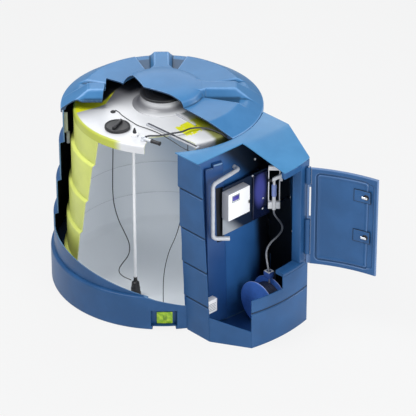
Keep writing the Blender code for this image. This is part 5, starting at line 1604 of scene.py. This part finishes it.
# the return pipe stands before the duct and turns forward at its foot
def makePipe():
    facts = pipeFacts
    near, high, left = plateFace - 0.033, facts["high"], facts["left"]
    start = Vector((-0.025, compFace(0.0, high - 0.03) - compFacts["gap"], high))
    points = [
        start, (-0.030, start.y - 0.068, high), (left, near, facts["upper"]), (left, near, facts["lower"]),
        (-0.268, near - 0.095, facts["foot"]),
    ]
    line = [Vector(point) for point in softened(points, facts["bend"], 10)]
    pipe = painted(sweepTube("return_line", line, facts["radius"], 32), "pipe")
    dressed(pipe, "tank", None, "return_pipe", angle=50.0)


# socket box on the left flank
def makeSocket():
    facts = socketFacts
    x0, y0, z0 = facts["left"], flankFront(0.36) + 0.020, facts["low"]
    wide, deep, tall = facts["size"]
    socket = block("socket", (x0, y0, z0), (x0 + wide, y0 + deep, z0 + tall))
    painted(bevelled(socket, 0.006, 3), "white")
    for i in range(facts["slots"]):
        z = z0 + 0.030 + facts["pitch"] * i
        slot = block("vent_slot", (x0 + 0.022, y0 - 0.01, z), (x0 + wide - 0.022, y0 + 0.003, z + 0.008))
        carveLook(socket, painted(slot, "grey"))
    dressed(socket, "tank", None, "socket_box")


# nozzle in its holster; heights are above its foot, and both are made at the axis and then turned
nozzleFacts = {
    "place": (0.377, plateFace - 0.098), "foot": 1.088, "turn": -45.0, "half": 0.061,
    "rails": (-0.0545, 0.0545), "bore": 0.0193,
    "barrel": ((0.0, 0.0), (0.0176, 0.0), (0.0188, 0.003), (0.0188, 0.152), (0.014, 0.156), (0.0, 0.156)),
    "grip": ((0.0, 0.155), (0.022, 0.155), (0.0255, 0.163), (0.0255, 0.277), (0.022, 0.285), (0.0, 0.285)),
    "stem": ((0.0, 0.28), (0.0135, 0.28), (0.0135, 0.352), (0.0, 0.352)),
}


def makeHolster(turn):
    facts = nozzleFacts
    (x, y), foot, half = facts["place"], facts["foot"], facts["half"]
    holster = bevelled(block("clamp", (-half, -0.026, foot + 0.020), (half, 0.026, foot + 0.095)), 0.006, 3)
    carve(holster, block("mouth", (-0.0203, -0.05, foot), (0.0203, 0.0, foot + 0.2)))
    top = block("top_bar", (-half, -0.010, foot + 0.450), (half, 0.026, foot + 0.496))
    others = [bevelled(top, 0.004, 3)]
    for at in facts["rails"]:
        others.append(block("rail", (at - 0.005, 0.012, foot + 0.08), (at + 0.005, 0.024, foot + 0.46)))
    for other in others:
        carve(holster, other, "UNION")
    holster.data.transform(turn)
    wallX = cabFacts["half"] - cabFacts["wall"] - cabFacts["gap"]
    arm = block("arm", (x + 0.003, y - 0.002, foot + 0.0353), (wallX, y + 0.018, foot + 0.0653))
    bevelled(arm, 0.003, 2)
    carveLook(painted(holster, "white"), painted(arm, "shade"), "UNION")
    outline = [
        (0.0, foot - 0.06), (facts["bore"], foot - 0.06), (facts["bore"], foot + 0.14), (0.0, foot + 0.14),
    ]
    carve(holster, lathe("bore", outline, (x, y, 0), steps=40))
    dressed(holster, "tank", None, "nozzle_holster", angle=40.0)


def makeNozzle():
    facts = nozzleFacts
    foot = facts["foot"]
    turn = turned((*facts["place"], 0), facts["turn"])
    makeHolster(turn)

    def raised(key):
        return [(radius, foot + height) for radius, height in facts[key]]

    barrel = lathe("barrel", softened(raised("barrel"), 0.001, 2), steps=40)
    grip = lathe("grip", softened(raised("grip"), 0.002, 3), steps=40)
    stem = lathe("stem", raised("stem"), steps=32)
    head = bevelled(block("head", (-0.020, -0.022, foot + 0.335), (0.100, 0.008, foot + 0.375)), 0.008, 4)
    for vertex in head.data.vertices:
        vertex.co.z += 0.5 * vertex.co.x
    lever = bevelled(block("lever", (-0.062, -0.013, foot + 0.323), (0.0, 0.003, foot + 0.350)), 0.004, 3)
    tip = bevelled(block("tip", (0.054, -0.018, foot + 0.333), (0.084, 0.004, foot + 0.380)), 0.004, 3)
    looks = ("white", "gripBlue", "white", "white", "black", "white")
    parts = [painted(part, look) for part, look in zip((barrel, grip, stem, head, lever, tip), looks)]
    whole = merged("nozzle_whole", parts)
    whole.data.transform(turn)
    dressed(whole, "tank", None, "nozzle", angle=45.0)


# repeats: one source piece at every spot, by Geometry Nodes
def repeated(name, spots, source, turn, finish):
    bm = bmesh.new()
    for spot in spots:
        bm.verts.new(spot)
    piece = fromBmesh(name, bm, tidy=False)
    group = bpy.data.node_groups.new(name + "_repeat", "GeometryNodeTree")
    group.interface.new_socket("Geometry", in_out="INPUT", socket_type="NodeSocketGeometry")
    names = {}
    for label, kind in (
        ("Source", "NodeSocketObject"), ("Turn", "NodeSocketVector"), ("Finish", "NodeSocketMaterial"),
    ):
        names[label] = group.interface.new_socket(label, in_out="INPUT", socket_type=kind).identifier
    group.interface.new_socket("Geometry", in_out="OUTPUT", socket_type="NodeSocketGeometry")
    kinds = {
        "enter": "NodeGroupInput", "info": "GeometryNodeObjectInfo", "place": "GeometryNodeInstanceOnPoints",
        "real": "GeometryNodeRealizeInstances", "look": "GeometryNodeSetMaterial", "leave": "NodeGroupOutput",
    }
    nodes = {key: group.nodes.new(kind) for key, kind in kinds.items()}
    for giver, output, taker, entry in (
        ("enter", "Geometry", "place", "Points"), ("enter", "Source", "info", "Object"),
        ("info", "Geometry", "place", "Instance"), ("enter", "Turn", "place", "Rotation"),
        ("place", "Instances", "real", "Geometry"), ("real", "Geometry", "look", "Geometry"),
        ("enter", "Finish", "look", "Material"), ("look", "Geometry", "leave", "Geometry"),
    ):
        group.links.new(nodes[giver].outputs[output], nodes[taker].inputs[entry])
    step = piece.modifiers.new("repeat", "NODES")
    step.node_group = group
    step[names["Source"]] = source
    step[names["Turn"]] = turn
    step[names["Finish"]] = finishes[finish]
    applied(piece)
    bpy.data.objects.remove(source, do_unlink=True)
    return piece


# reel: dished flanges, the hose wound in turns, its bracket and the guide above
reelFacts = {
    "y": -1.440, "z": 0.265, "left": -0.060, "right": 0.120, "radius": 0.240, "hub": 0.095, "coil": 0.182,
    "windows": 3, "hoseWide": 0.0202,
    "stand": ((-1.60, 0.0123), (-1.28, 0.0123), (-1.38, 0.33), (-1.40, 0.590), (-1.50, 0.590), (-1.50, 0.33)),
    "guideLeft": 0.058, "guideHeights": (0.515, 0.584, 0.590),
}


def makeDrum(centre):
    facts = reelFacts
    left, right, radius, hub = (facts[key] for key in ("left", "right", "radius", "hub"))
    profile = [
        (0.0, left - 0.012), (0.036, left - 0.012), (0.040, left - 0.008), (0.040, left), (0.070, left),
        (0.085, left + 0.004), (0.195, left + 0.004), (0.210, left), (0.236, left), (radius, left + 0.003),
        (radius, left + 0.006), (0.236, left + 0.008), (hub, left + 0.008), (hub, right - 0.008),
        (0.236, right - 0.008), (radius, right - 0.005), (radius, right - 0.002), (0.236, right),
        (0.0205, right), (0.0205, left + 0.020), (0.0, left + 0.020),
    ]
    drum = lathe("reel", profile, centre, (1, 0, 0), 96)
    # pressed windows through the outer flange
    for k in range(facts["windows"]):
        slot = block("reel_slot", (left - 0.03, -0.018, 0.120), (left + 0.0062, 0.018, 0.185))
        bevelled(slot, 0.008, 3)
        angle = math.radians(360 / facts["windows"] * k + 35)
        slot.data.transform(Matrix.Translation(centre) @ Matrix.Rotation(angle, 4, "X"))
        carve(drum, slot)
    dressed(drum, "reel", "reel", "reel_drum", angle=35.0)


def makeWoundHose(centre):
    facts = reelFacts
    _, y, z = centre
    inner, outer = facts["left"] + 0.009, facts["right"] - 0.009
    wide, hub, core = facts["hoseWide"], facts["hub"] + 0.0006, facts["coil"] - 0.012
    count = int((outer - inner) / wide)
    pitch = (outer - inner) / count
    outline = [(hub, inner), (core, inner), (core, outer), (hub, outer), (hub, inner)]
    coil = lathe("coil_core", outline, centre, (1, 0, 0), 72)
    ring, tube = facts["coil"] - wide / 2, wide / 2 - 0.0002
    bm = bmesh.new()
    rows = []
    for i in range(96):
        turn = 2 * math.pi * i / 96
        row = []
        for k in range(12):
            bend = 2 * math.pi * k / 12
            reach = ring + tube * math.cos(bend)
            row.append(bm.verts.new((tube * math.sin(bend), reach * math.cos(turn), reach * math.sin(turn))))
        rows.append(row)
    for i in range(96):
        for k in range(12):
            j, n = (i + 1) % 96, (k + 1) % 12
            bm.faces.new((rows[i][k], rows[j][k], rows[j][n], rows[i][n]))
    spots = [(inner + pitch * (i + 0.5), y, z) for i in range(count)]
    turns = repeated("hose_turns", spots, fromBmesh("hose_turn", bm), (0.0, 0.0, 0.0), "reelHose")
    dressed(merged("reel_hose", [painted(coil, "reelHose"), turns]), "reel", None, "wound_hose", angle=60.0)


def makeReel():
    facts = reelFacts
    y, left, stand = facts["y"], facts["left"], facts["right"] + 0.008
    centre = (0.0, y, facts["z"])
    makeDrum(centre)
    makeWoundHose(centre)

    outline = softened(facts["stand"], 0.012, 3, True)
    bracket = bevelled(prism("reel_stand", outline, stand, stand + 0.010, "YZ"), 0.002, 2, 50)
    outline = [(0.0, left + 0.025), (0.020, left + 0.025), (0.020, stand + 0.005), (0.0, stand + 0.005)]
    axle = lathe("axle", outline, centre, (1, 0, 0), 48)
    whole = merged("reel_stand", [painted(bracket, "shade"), painted(axle, "steel")])
    dressed(whole, "tank", None, "reel_bracket", angle=40.0)

    x0, x1, y0, y1 = facts["guideLeft"], stand - 0.0003, y - 0.040, y + 0.036
    low, middle, high = facts["guideHeights"]
    guide = painted(bevelled(block("guide", (x0, y0, low), (x1, y1, middle)), 0.003, 3), "guide")
    frame = block("guide_frame", (x0, y0, middle + 0.0002), (x1, y1, high))
    painted(bevelled(frame, 0.002, 2), "pipe")
    for piece in (guide, frame):
        carve(piece, block("guide_hole", (x0 + 0.012, y - 0.028, 0.4), (x1 - 0.0117, y + 0.024, 0.7)))
    dressed(merged("hose_guide", [guide, frame]), "tank", None, "hose_guide", angle=40.0)


# the door's pieces are made shut, then swung on its hinge
def hung(piece):
    x, y = doorFacts["hinge"]
    piece.data.transform(turned((x, y, 0), doorFacts["open"]) @ Matrix.Translation((-x, -y, 0)))
    return piece


def makeDoor():
    facts = doorFacts
    inner, thick, low, high = facts["inner"], facts["thick"], facts["low"], facts["high"]
    middle, outer = inner + thick / 2, inner + thick

    def angleAt(x):
        return 270 + math.degrees(math.asin(x / middle))

    a0, a1 = angleAt(facts["free"]), angleAt(facts["hingeX"])
    width, height = math.radians(a1 - a0) * middle, high - low
    soft = softened(facts["line"], 0.005, 3)
    edgeRound, corner = facts["edgeRound"], facts["cornerRound"]

    def insideDistance(u, v):
        du, dv = min(along(facts["freeEdge"], u), width - u), min(v, height - v)
        if du < corner and dv < corner:
            return corner - math.hypot(corner - du, corner - dv)
        return min(du, dv)

    # finer near both ends, where the rims are
    def marks(length, near, wide):
        fine = [near * i / round(near / 0.0028) for i in range(round(near / 0.0028))]
        middle = [near + (length - 2 * near) * i / wide for i in range(wide)]
        return fine + middle + [length - value for value in reversed(fine)]

    us, vs = marks(width, 0.150, 30), marks(height, 0.120, 60)
    columns, rows = len(us) - 1, len(vs) - 1
    bm = bmesh.new()

    def spot(r, u, v):
        angle = math.radians(a0) + u / middle
        return bm.verts.new((r * math.cos(angle), r * math.sin(angle), low + v))

    def faceGrid(radiusAt):
        return [[spot(radiusAt(u, v), u, v) for v in vs] for u in us]

    def edgeSet(u, v):
        near = min(u, width - u, v, height - v)
        if near >= edgeRound:
            return 0.0
        return edgeRound - math.sqrt(max(0.0, edgeRound ** 2 - (edgeRound - near) ** 2))

    inside = faceGrid(lambda u, v: inner + max(along(soft, max(0.0, insideDistance(u, v))), edgeSet(u, v)))
    outside = faceGrid(lambda u, v: outer - edgeSet(u, v))
    for grid in (inside, outside):
        for i in range(columns):
            for j in range(rows):
                bm.faces.new((grid[i][j], grid[i + 1][j], grid[i + 1][j + 1], grid[i][j + 1]))
    rim = [(i, 0) for i in range(columns)] + [(columns, j) for j in range(rows)]
    rim += [(i, rows) for i in range(columns, 0, -1)] + [(0, j) for j in range(rows, 0, -1)]
    for (i, j), (k, n) in zip(rim, rim[1:] + rim[:1]):
        bm.faces.new((inside[i][j], inside[k][n], outside[k][n], outside[i][j]))
    panel = painted(fromBmesh("door_leaf", bm), "blue")
    x, y = facts["hinge"]
    pieces = [panel]
    leafY = -math.sqrt(middle ** 2 - facts["hingeX"] ** 2)
    (blockLow, blockTop), (nextLow, _) = facts["blocks"]
    bore, barrel, gap = facts["bore"], facts["barrel"], facts["swingGap"]
    for z0, z1 in ((low, blockLow - gap), (blockTop + gap, nextLow - gap)):
        outline = [
            (bore, z0), (barrel - 0.002, z0), (barrel, z0 + 0.002), (barrel, z1 - 0.002),
            (barrel - 0.002, z1), (bore, z1), (bore, z0),
        ]
        pieces.append(painted(lathe("barrel", outline, (x, y, 0), steps=40), "blue"))
        # the long barrel is held at its ends, which leaves a slot beside the door
        for a, b in [(z0, z1)] if z1 - z0 < 0.2 else [(z0, z0 + 0.030), (z1 - 0.030, z1)]:
            near = (facts["hingeX"] - 0.02, leafY - 0.008, a + 0.001)
            far = (x - 0.009, leafY + 0.008, b - 0.001)
            pieces.append(painted(bevelled(block("leaf", near, far), 0.002, 2), "blue"))
    door = hung(creased(merged("door_leaf", pieces)))
    dressed(door, "door", None, "door_panel", angle=50.0)

    pin, head, top = facts["pin"], facts["pinHead"], high + 0.0003
    outline = [
        (0.0, low - 0.005), (pin, low - 0.005), (pin, top), (head, top), (head, high + 0.006),
        (0.0, high + 0.006),
    ]
    rod = lathe("pin", softened(outline, 0.0008, 2), (x, y, 0), steps=32)
    dressed(painted(rod, "steel"), "tank", None, "hinge_pin", angle=40.0)
    for label, z in latchFacts["heights"].items():
        makeLatch(label, z)


# a latch: its plate with a dark washer and a skirt of painted shadow round it, and the cam that turns on it
latchFacts = {
    "heights": {"lower": 1.127, "upper": 1.577}, "left": -0.309, "right": -0.137, "half": 0.062,
    "cam": 0.045,
}


def makeLatch(label, z):
    facts = latchFacts
    face = doorFacts["inner"] + 0.0037
    near, half, x = face - 0.010, facts["half"], facts["left"] + facts["cam"]
    start = 270 + math.degrees(math.asin(facts["left"] / face))
    sweep = 270 + math.degrees(math.asin(facts["right"] / face)) - start
    plate = sectorBlock("latch_" + label, upright(near, face, z - half, z + half), start, sweep, 8)
    radial = Vector((x, -math.sqrt(near ** 2 - x ** 2), 0)).normalized()
    spot = Vector((x, -math.sqrt(near ** 2 - x ** 2), z))
    washer = lathe(
        "washer", [(0.0, -0.002), (0.030, -0.002), (0.030, 0.0006), (0.0, 0.0006)], spot, -radial, 40,
    )
    # a dark skirt just beyond the plate: painted shadow round its edge
    outline = upright(near + 0.004, face, z - half - 0.005, z + half + 0.005)
    skirt = sectorBlock("latch_skirt", outline, start - 0.16, sweep + 0.32, 8)
    bevelled(painted(plate, "blue"), 0.004, 3, 50)
    parts = [plate, painted(washer, "black"), painted(skirt, "shade")]
    dressed(hung(merged("latch_" + label, parts)), "door", None, "latch_plate_" + label, angle=40.0)

    foot = radial * (near - 0.0012)
    foot.z = z
    outline = softened([(0.0, 0.0), (0.013, 0.0), (0.013, 0.016), (0.011, 0.018), (0.0, 0.018)], 0.001, 2)
    boss = lathe("cam_" + label, outline, steps=40)
    bar = bevelled(block("cam_bar", (-0.042, -0.012, 0.010), (0.020, 0.012, 0.020)), 0.003, 3)
    cam = merged("cam_" + label, [painted(boss, "steel"), painted(bar, "steel")])
    cam.data.transform(Matrix.Translation(foot) @ turnTo(-radial))
    dressed(hung(cam), label + "_latch", None, "latch_cam_" + label, angle=40.0)


makeCabinet()
makeCompartment()
print("cabinet made")
face = plateFace - plateFacts["thick"] - compFacts["gap"]  # what hangs on the plate starts here
makePlate()
makeController(face)
makeCover(face)
makePipe()
makeSocket()
makeNozzle()
makeReel()
makeDoor()
print("equipment and door made")


# floor, light and background; a light is its place, its aim, its size and its power
stageFacts = {
    "floor": 0.80, "floorGlow": 0.915, "glowShare": 0.93, "background": 0.917, "sky": (0.86, 0.92, 1.0),
    "skyPower": 0.48,
}
lights = {
    "top_light": ((-3.0, 0.5, 6.6), (0, 0, 1.2), 3.0, 300.0),
    "far_light": ((4.8, 4.4, 5.6), (0, 0, 1.6), 5.0, 150.0),
    "front_light": ((-2.0, -8.2, 3.6), (0, -0.8, 1.0), 3.0, 300.0),
    "side_light": ((6.0, -5.0, 4.0), (0.5, -1.4, 1.2), 2.5, 230.0),
}


def makeStage():
    facts = stageFacts
    bm = bmesh.new()
    bmesh.ops.create_grid(bm, x_segments=1, y_segments=1, size=60.0)
    bmesh.ops.translate(bm, vec=(0, 0, -0.002), verts=bm.verts)
    floor = fromBmesh("floor", bm, tidy=False)
    look = Finish("floor_paper")
    look.wire(Base_Color=(facts["floor"],) * 3, Roughness=0.9)
    rays = look.node("ShaderNodeLightPath", "Is Camera Ray")
    glow = look.node("ShaderNodeEmission", "Emission", Color=(*(facts["floorGlow"],) * 3, 1.0), Strength=1.0)
    blend = look.tree.nodes.new("ShaderNodeMixShader")
    look.tree.links.new((rays * facts["glowShare"]).socket, blend.inputs[0])
    look.tree.links.new(look.shader.outputs[0], blend.inputs[1])
    look.tree.links.new(glow.socket, blend.inputs[2])
    look.tree.links.new(blend.outputs[0], look.tree.nodes["Material Output"].inputs["Surface"])
    floor.data.materials.append(look.material)

    world = bpy.data.worlds.new("studio")
    scene.world = world
    world.use_nodes = True
    tree = world.node_tree
    back = tree.nodes["Background"]
    plain = tree.nodes.new("ShaderNodeBackground")
    plain.inputs["Color"].default_value = (*(facts["background"],) * 3, 1.0)
    back.inputs["Color"].default_value = (*facts["sky"], 1.0)
    back.inputs["Strength"].default_value = facts["skyPower"]
    path = tree.nodes.new("ShaderNodeLightPath")
    blend = tree.nodes.new("ShaderNodeMixShader")
    tree.links.new(path.outputs["Is Camera Ray"], blend.inputs[0])
    tree.links.new(back.outputs[0], blend.inputs[1])
    tree.links.new(plain.outputs[0], blend.inputs[2])
    tree.links.new(blend.outputs[0], tree.nodes["World Output"].inputs["Surface"])

    for name, (spot, aim, size, power) in lights.items():
        lamp = bpy.data.lights.new(name, "AREA")
        lamp.size = size
        lamp.energy = power
        holder = bpy.data.objects.new(name, lamp)
        holder.matrix_world = Matrix.Translation(spot) @ turnTo(Vector(spot) - Vector(aim))
        scene.collection.objects.link(holder)


makeStage()
print("stage made")
